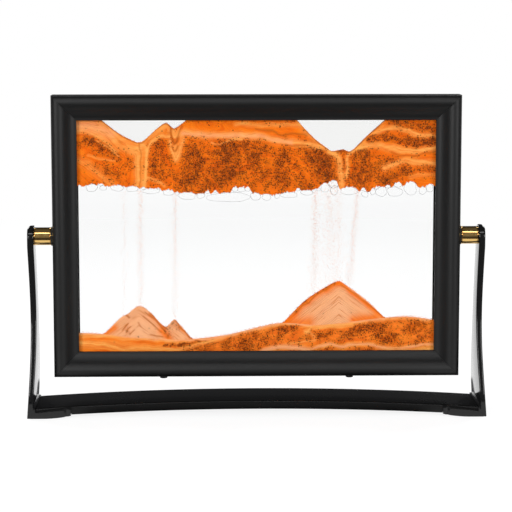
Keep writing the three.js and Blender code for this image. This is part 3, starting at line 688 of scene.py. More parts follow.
# %% Barrels and washers
FRAME_SIDE = FRAME_WIDTH / 2
PIN_BORE = 1.78
BARREL_START, BARREL_LENGTH, BARREL_RADIUS = 113.6, 9.3, 5.0
BEAD, BEAD_RISE, BEAD_SLOPE = 0.25, 0.07, 0.06
WASHER_RADIUS, WASHER_THICKNESS, WASHER_ROUND, WASHER_GAP = 5.3, 1.0, 0.2, 0.05
barrel_profile = [
    (PIN_BORE, 0),
    *round_corner(BARREL_RADIUS - BEAD, BEAD, BEAD, -QUARTER_TURN),
    *round_corner(BARREL_RADIUS - BEAD, BEAD, BEAD, 0),
    (BARREL_RADIUS - BEAD_RISE, 2 * BEAD + BEAD_SLOPE),
    (BARREL_RADIUS - BEAD_RISE, BARREL_LENGTH - 2 * BEAD - BEAD_SLOPE),
    *round_corner(BARREL_RADIUS - BEAD, BARREL_LENGTH - BEAD, BEAD, -QUARTER_TURN),
    *round_corner(BARREL_RADIUS - BEAD, BARREL_LENGTH - BEAD, BEAD, 0),
    (PIN_BORE, BARREL_LENGTH),
]
washer_profile = [
    (PIN_BORE, 0),
    *round_corner(WASHER_RADIUS - WASHER_ROUND, WASHER_ROUND, WASHER_ROUND, -QUARTER_TURN),
    *round_corner(WASHER_RADIUS - WASHER_ROUND, WASHER_THICKNESS - WASHER_ROUND, WASHER_ROUND, 0),
    (PIN_BORE, WASHER_THICKNESS),
]
for hand, side in HANDS:
    place = along_pivot(side, BARREL_START)
    barrel = turned(f"brass_barrel_{hand}", barrel_profile, brass, place, hollow=True)
    fit(barrel, "stand", "brass", f"barrel_{hand}")
    place = along_pivot(side, FRAME_SIDE + WASHER_GAP)
    washer = turned(f"rubber_washer_{hand}", washer_profile, seal_rubber, place, hollow=True)
    fit(washer, "picture", "seal_rubber", f"washer_{hand}")

# %% Pin and plug sections
ARM_OUTER = 126.55
PIN_SUNK, PIN_HEAD_HEIGHT, PIN_HEAD_RADIUS, PIN_HEAD_ROUND = 0.15, 1.4, 3.4, 0.3
PIN_HEAD_TOP = ARM_OUTER - FRAME_SIDE - PIN_SUNK
PIN_RADIUS, THREAD_RADIUS, THREAD_LENGTH = 1.7, 1.4, 4.5
SLOT_HALVES, SLOT_DEPTH = ((2, 0.45), (0.45, 2)), 0.8
PLUG_ASIDE, PLUG_GAP, NUB_RADIUS, NUB_HEIGHT, NUB_ROUND = 52, 0.05, 2.1, 2, 0.5
STEM_RADIUS, STEM_LENGTH = 1.4, 12.7
CUT_PAST = 1


def prism(name, outline, low, high, finish, place):
    count = len(outline)
    corners = [place(a, b, h) for h in (low, high) for a, b in outline]
    faces = [(i, (i + 1) % count, count + (i + 1) % count, count + i) for i in range(count)]
    return new_piece(name, corners, [*faces, tuple(range(count)), tuple(range(count, 2 * count))], finish)


def slot_cutter(half_a, half_b, place):
    corners = [(-half_a, -half_b), (half_a, -half_b), (half_a, half_b), (-half_a, half_b)]
    return prism("slot", corners, PIN_HEAD_TOP - SLOT_DEPTH, PIN_HEAD_TOP + CUT_PAST, pin_steel, place)


def under_frame(side):
    return lambda x, y, h: (side * PLUG_ASIDE + x, y, PIVOT_HEIGHT - FRAME_HEIGHT / 2 + h)


pin_profile = [
    (0, -THREAD_LENGTH), (THREAD_RADIUS, -THREAD_LENGTH), (THREAD_RADIUS, 0), (PIN_RADIUS, 0),
    (PIN_RADIUS, PIN_HEAD_TOP - PIN_HEAD_HEIGHT), (PIN_HEAD_RADIUS, PIN_HEAD_TOP - PIN_HEAD_HEIGHT),
    *round_corner(PIN_HEAD_RADIUS - PIN_HEAD_ROUND, PIN_HEAD_TOP - PIN_HEAD_ROUND, PIN_HEAD_ROUND, 0),
    (0, PIN_HEAD_TOP),
]
plug_profile = [
    (0, -NUB_HEIGHT),
    *round_corner(NUB_RADIUS - NUB_ROUND, NUB_ROUND - NUB_HEIGHT, NUB_ROUND, -QUARTER_TURN),
    (NUB_RADIUS, -PLUG_GAP), (STEM_RADIUS, -PLUG_GAP), (STEM_RADIUS, STEM_LENGTH), (0, STEM_LENGTH),
]
print("sections", len(pin_profile), "and", len(plug_profile), "points")

# %% Pins and plugs
for hand, side in HANDS:
    place = along_pivot(side, FRAME_SIDE)
    pin = turned(f"cross_head_pin_{hand}", pin_profile, pin_steel, place)
    cross = [slot_cutter(*halves, place) for halves in SLOT_HALVES]
    fit(carve(pin, cross), "picture", "pin_steel", f"pivot_pin_{hand}")
    plug = turned(f"filling_plug_{hand}", plug_profile, seal_rubber, under_frame(side))
    fit(plug, "picture", "seal_rubber", f"fill_plug_{hand}")

# %% [markdown]
# ## Arms
# Each arm is a strap with a round top that bows inward a little and flares to the depth of its foot. Its
# width and its bow are rules of the height, so it is a loft: one rounded rectangle for each height. The
# foot is a short shoe with two rims, drawn from the side and given its depth, then hollowed where the base
# plate lies.

# %% Arm strap
ARM_DEPTH, ARM_TOP_RISE = 14, 6
STRAP_THICKNESS, STRAP_TAPER = 3.6, 0.8
EDGE_ROUND, EDGE_ROUND_MORE, EDGE_ROUND_FROM = 0.25, 0.45, 5
FOOT_DEPTH = 38
BLOCK_TOP, CORNER_FILLET = 5.85, 1.2
WAIST, BOW, TOE_OUT, CREST_ROUND, SOLE_ROUND = 44, 1.48, 0.28, 2.2, 0.35
FLARE_START, FLARE_HEIGHT, FLARE_SHARPNESS = BLOCK_TOP + CORNER_FILLET, 78, 1.6
ARM_CREST = PIVOT_HEIGHT + ARM_TOP_RISE
ARM_TOP_CENTRE = ARM_CREST - ARM_DEPTH / 2
STRAIGHT_BELOW_BARREL, STRAP_RINGS = 0.7, 84
BOW_TOP = PIVOT_HEIGHT - BARREL_RADIUS - STRAIGHT_BELOW_BARREL


def quarter_round(radius, beyond):
    return radius - math.sqrt(max(0, radius ** 2 - min(max(0, beyond), radius) ** 2))


def arm_ring(side, height):
    above = max(height - FLARE_START, 0) / (FLARE_HEIGHT - FLARE_START)
    below = max(0, 1 - above) ** FLARE_SHARPNESS
    flare = below * below * (3 - 2 * below)
    straight = math.sqrt(max((ARM_DEPTH / 2) ** 2 - max(0, height - ARM_TOP_CENTRE) ** 2, 0))
    sole = quarter_round(SOLE_ROUND, SOLE_ROUND - height)
    half = straight + (FOOT_DEPTH - ARM_DEPTH) / 2 * flare - sole
    upper = min((height - WAIST) / (BOW_TOP - WAIST), 1)
    if upper > 0:
        bow = BOW * math.cos(QUARTER_TURN * upper)
    else:
        bow = BOW - (BOW + TOE_OUT) * (1 - height / WAIST) ** 2
    inner = ARM_OUTER - bow - STRAP_THICKNESS + STRAP_TAPER * max(0, 1 - height / BOW_TOP)
    outer = ARM_OUTER - bow - sole - quarter_round(CREST_ROUND, height - ARM_CREST + CREST_ROUND)
    soft = EDGE_ROUND + EDGE_ROUND_MORE * min(max(0, height / EDGE_ROUND_FROM - 1), 1)
    soft = min(soft, NEARLY_HALF * 2 * half, NEARLY_HALF * (outer - inner))
    ring = rounded_rectangle(inner, outer, -half, half, soft)
    return [(side * x, y, height) for x, y in ring]


arm_levels = [0, 0.08, 0.2, *np.linspace(SOLE_ROUND, ARM_TOP_CENTRE, STRAP_RINGS)]
for angle in (*range(4, 85, 4), 86, 88, 89):
    arm_levels.append(ARM_TOP_CENTRE + ARM_DEPTH / 2 * math.sin(math.radians(angle)))
print("arm rings", len(arm_levels), "top at", round(arm_levels[-1], 2), "mm")

# %% Foot outlines
FOOT_LENGTH, FOOT_FLAT, FOOT_RISE, FOOT_FLOOR, FOOT_EDGE = 23.8, 8, 1.6, 2.4, 0.35
FOOT_GAP, SINK_GAP = 0.03, 0.08
FOOT_HALF = FOOT_DEPTH / 2 - FOOT_GAP
POCKET_HALF, POCKET_TOP = 17.9, 9
RIM_HEIGHT, RIM_TILT, RIM_WALL, RIM_FALL = 4.2, 2.3, 1.1, 1.2
RIM_SLOPE_END = RIM_HEIGHT - RIM_FALL * (RIM_WALL + CUT_PAST) / RIM_WALL
NOTCH_FROM_END, NOTCH_HALF, NOTCH_DEPTH = 2.6, 2.25, 0.8
WALL_INSET, BLOCK_INSET = 2.8, 4.2
SINK_START, SINK_END, SINK_RADIUS = 9, 15, 3.56
SINK_FLOOR = PIN_HEAD_TOP - PIN_HEAD_HEIGHT - SINK_GAP
foot_outline = [(WALL_INSET / 2, 0), (FOOT_FLAT, 0)]
foot_outline += bend(foot_outline[-1], [(FOOT_FLAT + FOOT_LENGTH) / 2, 0], [FOOT_LENGTH, FOOT_RISE], 12)
foot_outline += [(FOOT_LENGTH, RIM_HEIGHT + RIM_TILT), (BLOCK_INSET, RIM_HEIGHT), (BLOCK_INSET, BLOCK_TOP)]
foot_outline += bend(foot_outline[-1], [WALL_INSET, BLOCK_TOP], [WALL_INSET, BLOCK_TOP + CORNER_FILLET], 8)
foot_outline += [(WALL_INSET / 2, BLOCK_TOP + CORNER_FILLET)]
past_foot = FOOT_LENGTH + CUT_PAST
pocket = [
    (BLOCK_INSET, FOOT_FLOOR), (past_foot, FOOT_FLOOR),
    (past_foot, POCKET_TOP), (BLOCK_INSET, POCKET_TOP),
]
rim_slope = [
    (FOOT_HALF - RIM_WALL, RIM_HEIGHT), (FOOT_HALF - RIM_WALL, RIM_HEIGHT + CUT_PAST),
    (FOOT_HALF + CUT_PAST, RIM_HEIGHT + CUT_PAST), (FOOT_HALF + CUT_PAST, RIM_SLOPE_END),
]
notch_middle = FOOT_LENGTH - NOTCH_FROM_END
notch = [
    (notch_middle - NOTCH_HALF, FOOT_HALF + CUT_PAST), (notch_middle + NOTCH_HALF, FOOT_HALF + CUT_PAST),
    (notch_middle, FOOT_HALF - NOTCH_DEPTH),
]
print("foot outline", len(foot_outline), "points")

# %% Feet and arms
def foot(side):
    def from_side(inset, height, y):
        return side * (ARM_OUTER - inset), y, height

    shoe = prism("foot", foot_outline, -FOOT_HALF, FOOT_HALF, stand_plastic, from_side)
    tools = [prism("pocket", pocket, -POCKET_HALF, POCKET_HALF, stand_plastic, from_side)]
    tilt = RIM_TILT / (FOOT_LENGTH - BLOCK_INSET)
    for face in (-1, 1):
        tools.append(prism(
            "rim slope", rim_slope, BLOCK_INSET, past_foot, stand_plastic,
            lambda y, z, inset: from_side(inset, z + tilt * (inset - BLOCK_INSET), face * y),
        ))
        tools.append(prism(
            "notch", notch, -CUT_PAST, RIM_HEIGHT + RIM_TILT + CUT_PAST, stand_plastic,
            lambda inset, y, z: from_side(inset, z, face * y),
        ))
    return soften(carve(shoe, tools), FOOT_EDGE)


def joined(name, pieces):
    work = bmesh.new()
    for piece in pieces:
        work.from_mesh(piece.data)
    mesh = bpy.data.meshes.new(name)
    work.to_mesh(mesh)
    work.free()
    mesh.materials.append(pieces[0].data.materials[0])
    smooth(mesh)
    for piece in pieces:
        bpy.data.objects.remove(piece)
    return link(name, mesh)


sink_profile = [
    (0, SINK_START), (PIN_BORE, SINK_START), (PIN_BORE, SINK_FLOOR),
    (SINK_RADIUS, SINK_FLOOR), (SINK_RADIUS, SINK_END), (0, SINK_END),
]
for hand, side in HANDS:
    strap = new_piece("strap", *loft([arm_ring(side, h) for h in arm_levels]), stand_plastic)
    sink = turned("sink", sink_profile, stand_plastic, along_pivot(side, FRAME_SIDE))
    arm = joined(f"flared_arm_{hand}", [carve(strap, [sink]), foot(side)])
    fit(arm, "stand", "stand_plastic", f"{hand}_arm")

# %% [markdown]
# ## Base plate
# The plate is a board bent upward in a shallow arch, with rounded long edges that catch a line of light.
# Its top follows a parabola, so again a loft along X is the plainest way. Both ends are thinner, where they
# lie in the feet.

# %% Plate
PLATE_HALF_LENGTH, PLATE_HALF_DEPTH, PLATE_CROWN, PLATE_ARCH = 122.15, 17.7, 9.5, 3.85
REBATE_START, REBATE_HEIGHT, REBATE_STEP = 102.55, 2.6, 0.02
PLATE_THICKNESS, PLATE_ROUND, PLATE_STEPS = 4.9, 1.1, 8
SPAN_RINGS, END_RINGS = 141, 6


def plate_top(x):
    return PLATE_CROWN - PLATE_ARCH * (x / PLATE_HALF_LENGTH) ** 2


def plate_ring(x, low):
    high = plate_top(x)
    radius = min(PLATE_ROUND, NEARLY_HALF * (high - low))
    ring = rounded_rectangle(-PLATE_HALF_DEPTH, PLATE_HALF_DEPTH, low, high, radius, PLATE_STEPS)
    return [(x, y, z) for y, z in ring]


span = np.linspace(-REBATE_START, REBATE_START, SPAN_RINGS)
ends = np.linspace(REBATE_START + REBATE_STEP, PLATE_HALF_LENGTH, END_RINGS)
plate_rings = [plate_ring(-x, REBATE_HEIGHT) for x in ends[::-1]]
plate_rings += [plate_ring(x, plate_top(x) - PLATE_THICKNESS) for x in span]
plate_rings += [plate_ring(x, REBATE_HEIGHT) for x in ends]
plate = new_piece("arched_plate", *loft(plate_rings), plate_plastic)
fit(plate, "stand", "stand_plastic", "base_plate")

# %% [markdown]
# ## Bubbles
# A row of trapped air holds the upper sand up. Each bubble is pressed flat between the panes, so it is a
# rounded lozenge with bulging sides, and a few slow waves make its outline uneven. The row repeats the
# packed places, and some small bubbles sit above it in the sand's ragged edge. All of them are one mesh,
# and their shapes are read again when the sand above them is shaped.

# %% Bubble places
FILL_HALF_WIDTH, FILL_HALF_HEIGHT, SAND_HALF = 99.0, 64.5, 1.85
SQUARENESS, BULGE, WIDENED, NARROWEST = 2.15, 0.30, 0.1, 0.7
BUBBLE_POINTS, BUBBLE_RINGS, BUBBLE_EDGE = 40, 13, 60
UNEVEN_WAVES = ((0.055, 2, 1.7), (0.05, 3, 2.9), (0.035, 5, 4.1))
bubble_row = [
    (-91.9, 6.3, 38.3, 45.1), (-85.6, 3.6, 39.3, 43.7), (-77.8, 7.3, 38.8, 44.2), (-69.4, 6.9, 38.3, 43.2),
    (-58.7, 9.5, 36.3, 41.2), (-49.2, 5.9, 34.8, 40.2), (-38.9, 10.1, 31.4, 37.8), (-31.2, 4.7, 32.4, 36.8),
    (-15.6, 23.3, 29, 37.3), (-0.6, 5.5, 30.4, 37.3), (5.6, 5.1, 30.4, 36.3), (11.5, 2.8, 31.9, 36.3),
    (18.1, 8.9, 32.4, 37.8), (28.1, 6.9, 34.8, 39.3), (38.3, 4.9, 37.3, 45.6), (43.5, 4, 34.8, 43.2),
    (51.7, 8.9, 34.8, 42.2), (60.7, 3.8, 32.9, 37.8), (65.1, 2.8, 34.8, 40.7), (69.9, 5.9, 33.4, 42.2),
    (77.4, 8.3, 33.4, 41.7), (86.2, 7.1, 34.8, 46.6), (93.1, 4.3, 35.3, 42.2), (97, 2.4, 36.8, 44.7),
]
small_bubbles = [
    (42.6, 28.6, 2.6, 2.3), (78.4, 28.2, 2.2, 1.5), (-11.9, 25.9, 1.7, 1.4), (-8.4, 25.7, 2.0, 1.5),
    (-5.0, 26.0, 1.7, 1.3), (-62.5, 26.6, 1.1, 0.8), (-27.0, 24.3, 1.4, 0.9), (-22.9, 24.8, 1.0, 0.8),
    (23.0, 25.7, 1.3, 0.9), (59.0, 25.8, 1.2, 1.0), (34.2, 25.6, 1.1, 1.0), (-86.0, 28.6, 1.3, 0.8),
    (-54.0, 26.2, 1.2, 0.7), (66.6, 26.4, 1.3, 0.9), (72.8, 27.2, 1.4, 1.0),
]
print("bubbles", len(bubble_row), "in the row and", len(small_bubbles), "small ones")

# %% Bubble row
def bubble_shape(middle, width, low, high):
    centre = (middle / 100 * FILL_HALF_WIDTH, (low + high) / 200 * FILL_HALF_HEIGHT)
    half_high = (high - low) / 200 * FILL_HALF_HEIGHT
    return *centre, max(width / 200 * FILL_HALF_WIDTH + WIDENED, NARROWEST * half_high), half_high


def squared(value):
    return math.copysign(abs(value) ** (2 / SQUARENESS), value)


def bubble_rings(number, x, z, half_wide, half_high):
    rings = []
    for depth in np.sin(np.linspace(-1, 1, BUBBLE_RINGS) * QUARTER_TURN):
        scale = 1 - BULGE + BULGE * math.sqrt(max(0, 1 - depth ** 2))
        ring = []
        for k in range(BUBBLE_POINTS):
            angle = k / BUBBLE_POINTS * 2 * math.pi
            waves = sum(share * math.sin(n * angle + turn * number) for share, n, turn in UNEVEN_WAVES)
            reach = scale * (1 + waves)
            ring.append((
                x + half_wide * reach * squared(math.cos(angle)),
                depth * SAND_HALF,
                PIVOT_HEIGHT + z + half_high * reach * squared(math.sin(angle)),
            ))
        rings.append(ring)
    return rings


shapes = [bubble_shape(*bubble) for bubble in bubble_row] + small_bubbles
corners, faces = [], []
for number, shape in enumerate(shapes):
    more_corners, more_faces = loft(bubble_rings(number, *shape))
    faces += [tuple(len(corners) + i for i in f) for f in more_faces]
    corners += more_corners
bubbles = new_piece("trapped_bubbles", corners, faces, bubble_skin, BUBBLE_EDGE)
fit(bubbles, "picture", "air", *(f"air_bubble_{k + 1:02d}" for k in range(len(bubble_row))))

# %% [markdown]
# ## Liquid
# The liquid fills the cell round the sand. A renderer follows a ray through only a few clear faces, and a
# liquid with a hollow for every bubble and grain would use them up and turn black at the edges. So it is
# one plain slab, a hair thinner than the sand, that ends under the row of bubbles: between bubbles only
# thin films of it are left.

# %% Liquid body
LIQUID_TOP, LIQUID_HALF, LIQUID_GAP, LIQUID_ROUND = 18.0, 1.8, 0.1, 0.5
liquid_outline = rounded_rectangle(
    LIQUID_GAP - FILL_HALF_WIDTH, FILL_HALF_WIDTH - LIQUID_GAP,
    LIQUID_GAP - FILL_HALF_HEIGHT, LIQUID_TOP, LIQUID_ROUND,
)
liquid = prism(
    "clear_liquid_body", liquid_outline, -LIQUID_HALF, LIQUID_HALF, clear_liquid,
    lambda a, b, y: (a, y, PIVOT_HEIGHT + b),
)
fit(liquid, "picture", "liquid", "liquid_fill")

# %% [markdown]
# ## Sand: how a landscape is painted
# The sand fills the gap between the panes, so each body is a flat slab with a top line and an underside. It
# is cut into fine columns, and each corner carries its shares of pale, dark, deep and ash grains. The
# shares are laid on like paint: a ground tone, then strokes, and each stroke covers what lies under it.
# `in_tone` lists the strokes of one tone, each with its strength, its width and the points of its path. A
# slow noise bends all the strokes, because sand that slid down a slope never leaves a clean edge. `ripple`
# adds such noises, each with its strength, its size and its seed. `lean` lowers the rear edge of a heap, so
# its top doesn't show as a step.

# %% Lines
def spline(points, steps=10):
    p = np.array(points, float)
    p = np.vstack([p[0], p, p[-1]])
    t = np.linspace(0, 1, steps, endpoint=False)[:, None]
    spans = []
    for a, b, c, d in zip(p, p[1:], p[2:], p[3:]):
        square, cube = 2 * a - 5 * b + 4 * c - d, 3 * b - a - 3 * c + d
        spans.append(0.5 * (2 * b + (c - a) * t + square * t ** 2 + cube * t ** 3))
    return np.vstack([*spans, p[-1:]])


def in_cell(points):
    return np.array(points, float) * (FILL_HALF_WIDTH / 100, FILL_HALF_HEIGHT / 100)


def line_height(x, points):
    line = spline(in_cell(points))
    return np.interp(x, line[:, 0], line[:, 1])


def ripple(x, z, *layers):
    return sum(
        strength * np.array([noise.noise(Vector((a / size, b / size, seed))) for a, b in zip(x, z)])
        for strength, size, seed in layers
    )


print("lines ready")

# %% Strokes
TONES = ("pale", "dark", "deep", "ash")
NOTHING = 1e-9
BRUSH_FALL, FLOW_SOFTNESS = 0.7, 0.6


def in_tone(tone, rows):
    return [(tone, strength, width, path) for strength, width, *path in rows]


def gap_to(x, z, path, steps=6):
    line = spline(path, steps) if len(path) > 1 else np.array([path[0], path[0]], float)
    nearest, side = np.full(x.size, np.inf), np.ones(x.size)
    for (a, b), (c, d) in zip(line[:-1], line[1:]):
        run = np.array((c - a, d - b))
        share = np.clip(((x - a) * run[0] + (z - b) * run[1]) / max(run @ run, NOTHING), 0, 1)
        gap = np.hypot(x - a - share * run[0], z - b - share * run[1])
        side = np.where(gap < nearest, np.sign(run[0] * (z - b) - run[1] * (x - a)), side)
        nearest = np.minimum(nearest, gap)
    return nearest, side


def flow_lines(x, z, strokes):
    total, weight = np.zeros(x.size), np.full(x.size, NOTHING)
    for tone, _, _, path in strokes:
        if tone == "pale" and len(path) > 2:
            nearest, side = gap_to(x, z, path, 3)
            share = 1 / (nearest + FLOW_SOFTNESS) ** 3
            total += share * nearest * side
            weight += share
    return total / weight


def paint(x, z, ground, strokes):
    shares = {tone: np.ones(x.size) * ground.get(tone, 0) for tone in TONES}
    bent_x = x + ripple(x, z, (1.0, 6, 1), (0.2, 1.9, 2))
    bent_z = z + ripple(x, z, (0.8, 6, 3), (0.2, 1.9, 4))
    cloud = np.clip(0.75 + ripple(x, z, (0.7, 2.4, 5), (0.5, 1.1, 6)), 0.1, 1.3)
    streak = np.clip(0.9 + ripple(x * 0.2, z, (0.5, 0.9, 14)), 0.3, 1.2)
    blotch = np.clip(1 + ripple(x, z, (2.2, 4.5, 21), (1.2, 1.9, 22)), 0.08, 2.6)
    shares["dark"] = shares["dark"] * blotch
    break_up = {"dark": 1.3 * cloud, "pale": streak}
    for tone, strength, width, path in strokes:
        brushed = np.exp(-BRUSH_FALL * (gap_to(bent_x, bent_z, path)[0] / width) ** 2)
        cover = np.clip(strength * brushed * break_up.get(tone, 1), 0, 1)
        for other in TONES:
            shares[other] = shares[other] * (1 - cover) + (cover if other == tone else 0)
    flow = ground["flow"] if "flow" in ground else flow_lines(bent_x, bent_z, strokes)
    return {**shares, "flow": flow * MM}


print("strokes in", TONES)

# %% Sand bodies
def sand_body(name, x, low, high, rows, ground, strokes, node, lean=0.0):
    share = np.linspace(0, 1, rows + 1)[:, None]
    z = low + (high - low) * share
    place = np.arange(z.size).reshape(z.shape)
    flat_x, flat_z = np.broadcast_to(x, z.shape).ravel(), z.ravel()
    ground = {tone: np.broadcast_to(level, z.shape).ravel() for tone, level in ground.items()}
    shares = paint(flat_x, flat_z, ground, strokes)
    behind = (low + np.maximum(high - low - lean, 0.5 * (high - low)) * share).ravel()
    corners = [
        np.column_stack([flat_x, np.full(flat_x.size, y), PIVOT_HEIGHT + flat])
        for y, flat in ((-SAND_HALF, flat_z), (SAND_HALF, behind))
    ]
    back = place + z.size
    squares = [
        (place[:-1, :-1], place[:-1, 1:], place[1:, 1:], place[1:, :-1]),
        (back[:-1, :-1], back[1:, :-1], back[1:, 1:], back[:-1, 1:]),
        (place[-1, :-1], place[-1, 1:], back[-1, 1:], back[-1, :-1]),
        (place[0, :-1], back[0, :-1], back[0, 1:], place[0, 1:]),
        (place[:-1, 0], place[1:, 0], back[1:, 0], back[:-1, 0]),
        (place[:-1, -1], back[:-1, -1], back[1:, -1], place[1:, -1]),
    ]
    faces = np.vstack([np.column_stack([corner.ravel() for corner in square]) for square in squares])
    mesh = bpy.data.meshes.new(name)
    mesh.from_pydata((np.vstack(corners) * MM).tolist(), [], faces.tolist())
    for tone in shares:
        values = np.tile(shares[tone], 2).astype(np.float32)
        mesh.attributes.new(tone, "FLOAT", "POINT").data.foreach_set("value", values)
    mesh.materials.append(sand)
    return fit(link(name, mesh), "picture", "sand", node)


print("sand bodies ready")

# %% [markdown]
# ## Sand: the upper body
# It rests on the bubbles, so its underside follows their tops and hangs down between them. Two craters show
# where it has run out. Below each crater a pale neck marks the way the grains took. The long pale bands are
# older layers.

# %% Underside and craters
HANG_SHARE, FILM_ABOVE, FILM_BESIDE, PAST_EDGE = 0.74, 0.15, 0.2, 101
COLUMNS = 496
across = np.linspace(-FILL_HALF_WIDTH, FILL_HALF_WIDTH, COLUMNS)
level_line = np.zeros(across.size)
hang = [(middle, low + HANG_SHARE * (high - low)) for middle, _, low, high in bubble_row]
underside = line_height(across, [(-PAST_EDGE, hang[0][1]), *hang, (PAST_EDGE, hang[-1][1])])
underside += ripple(across, level_line, (1.3, 1.3, 7), (1.0, 3.0, 8))
for middle, z, half_wide, half_high in shapes:
    away = np.clip(np.abs(across - middle) / (half_wide + FILM_BESIDE), 0, 1)
    over = z + (half_high + FILM_ABOVE) * (1 - away ** SQUARENESS) ** (1 / SQUARENESS)
    underside = np.where(away < 1, np.maximum(underside, over), underside)
underside = np.convolve(np.pad(underside, 2, "edge"), np.array((1, 2, 3, 2, 1)) / 9, "valid")
underside += ripple(across, level_line, (0.9, 1.1, 23), (0.7, 0.75, 24))
left_crater = [
    (-87.7, 101.1), (-76.8, 88.1), (-68, 81.2), (-65.3, 80.3), (-62.4, 82.3),
    (-54.5, 93), (-50.3, 96.7), (-47, 93), (-44.8, 92.6), (-37.4, 101.1),
]
right_crater = [
    (21.4, 101.1), (31.1, 85), (40, 74.3), (42.7, 72.4),
    (48.3, 73.8), (53, 72.7), (61.3, 84.8), (73.1, 101.1),
]
surface = np.minimum(line_height(across, left_crater), line_height(across, right_crater))
surface = np.minimum(surface + ripple(across, level_line, (0.12, 0.8, 9)), FILL_HALF_HEIGHT)
print("underside from", round(underside.min(), 1), "to", round(underside.max(), 1), "mm above the pivot")

# %% Dark layers
# A thin line of deep tone darkens the sand along each crater rim.
rim_lines = in_tone("deep", [(0.5, 0.28, *in_cell(rim)) for rim in (left_crater, right_crater)])
older_layers = in_tone("dark", [
    (0.75, 2.2, (-93.5, 53.8), (-86.5, 50), (-79.5, 46.5)), (0.45, 3.5, (-83.5, 37.2), (-77.8, 33.3)),
    (0.5, 1.8, (-92.4, 53.6), (-86.1, 50.4), (-79.7, 46.7), (-76.1, 42.6)), (0.35, 2.5, (-70, 41)),
    (0.7, 3.5, (-53.4, 50.6)), (0.65, 4.5, (-54.7, 41), (-55.4, 35.9)),
    (0.8, 5, (-34.9, 46.1), (-33.6, 38.4), (-38.2, 30.7)), (0.5, 4, (-27.3, 28.1)),
    (0.9, 5.5, (-16.4, 47.9), (-14.5, 38.3), (-18.9, 33.2)),
    (0.7, 3.5, (-10, 50), (-4.8, 49.2), (-1, 42.1)), (0.6, 3, (3.5, 47.9)), (0.45, 5, (3.5, 34.4)),
    (0.6, 3.5, (13.8, 43.4), (14.4, 30.5)), (0.4, 3, (22.1, 30.5)), (0.55, 3, (27.3, 27.3)),
    (0.95, 5.5, (31.7, 45.3), (36.8, 40.8), (38.1, 34.3)),
    (0.7, 4.5, (58.6, 45.2), (57.4, 38.8), (55.5, 31.7)), (0.6, 4, (61.2, 34.3)),
    (0.65, 2.2, (67.6, 39.4), (74, 41.3)), (0.7, 3.5, (72.2, 31.4)), (0.5, 3, (81.2, 36.2)),
    (0.75, 2.2, (82.9, 53.2), (90.6, 51.9), (97, 53.1)), (0.7, 2.6, (76.4, 61.8), (89.2, 60.5), (97, 59.2)),
    (0.6, 1, (72, 58)), (0.6, 2.5, (58.7, 25.3)), (0.9, 1, (44.8, 46.2), (47.7, 47.5), (50.9, 46.4)),
])
print("dark layers", len(older_layers), "and rims", len(rim_lines))

# %% Pale bands and necks
left_flow = in_tone("pale", [
    (0.7, 2.6, (-99, 62), (-91.5, 60.8), (-84.5, 58.9), (-78.2, 54.5), (-73.8, 50.6), (-69.3, 48.4),
     (-65.5, 48)),
    (0.7, 1.2, (-99, 58.3), (-92.8, 58.3), (-87.1, 55.7), (-81.4, 51.3), (-77.6, 47.4)),
    (0.5, 1.6, (-84.8, 63.7), (-79.4, 58.3), (-73.7, 54.4), (-67.4, 52.5), (-64.5, 52.2), (-61.6, 53.1),
     (-55.9, 58.2), (-50.1, 62.4)),
    (0.45, 2, (-64.3, 50), (-64.3, 28)),
    (0.8, 1, (-68.7, 48), (-66.5, 44.8), (-65.9, 37.8), (-66, 28.2)),
    (0.9, 0.9, (-63.2, 50.6), (-61, 48.7), (-61.1, 41), (-62.2, 28.2)),
    (0.85, 0.8, (-61.1, 35.9), (-60.4, 45.5), (-57.8, 51.9), (-53.3, 55), (-47.6, 55.3)),
    (0.55, 1.8, (-58.4, 55), (-53.3, 58.9), (-48.8, 60.8), (-47.3, 58.2)),
    (0.9, 0.9, (-46.6, 58.9), (-44.4, 54.7), (-42.2, 58.8)), (0.7, 1.4, (-44.4, 50), (-44.4, 44)),
    (0.9, 1, (-47.6, 52.5), (-45.1, 42.9), (-43.8, 42.9), (-40.9, 53.1)),
    (0.4, 2.0, (-98.7, 43), (-92.4, 39.1), (-85.4, 33.4), (-80.4, 28.9)),
    (0.5, 0.6, (-92.9, 44.9), (-84.7, 43), (-78.3, 42.3)), (0.6, 0.4, (-88, 53), (-82, 49), (-76, 44)),
    (0.6, 0.9, (-63.1, 30.1), (-59.9, 32), (-54.8, 30.7), (-51, 28.1)),
]) + in_tone("deep", [
    (0.4, 0.3, (-64.8, 51.2), (-64.4, 45.5), (-64.3, 28.2)),
    (0.75, 0.5, (-47.3, 61.2), (-46.5, 55.8), (-45.3, 52.0), (-44.5, 51.3), (-43.2, 53.5), (-41.7, 58.6),
     (-41.0, 60.9)),
]) + in_tone("pale", [
    (0.6, 0.8, (-45.0, 60.0), (-44.5, 54.9)),
]) + in_tone("deep", [
    (0.55, 0.45, (-46.5, 49.9), (-44.9, 47.4), (-43.1, 49.9)),
]) + in_tone("ash", [
    (0.35, 2.5, (-96.9, 61.4), (-88.7, 60.5), (-80.5, 56.8)),
])
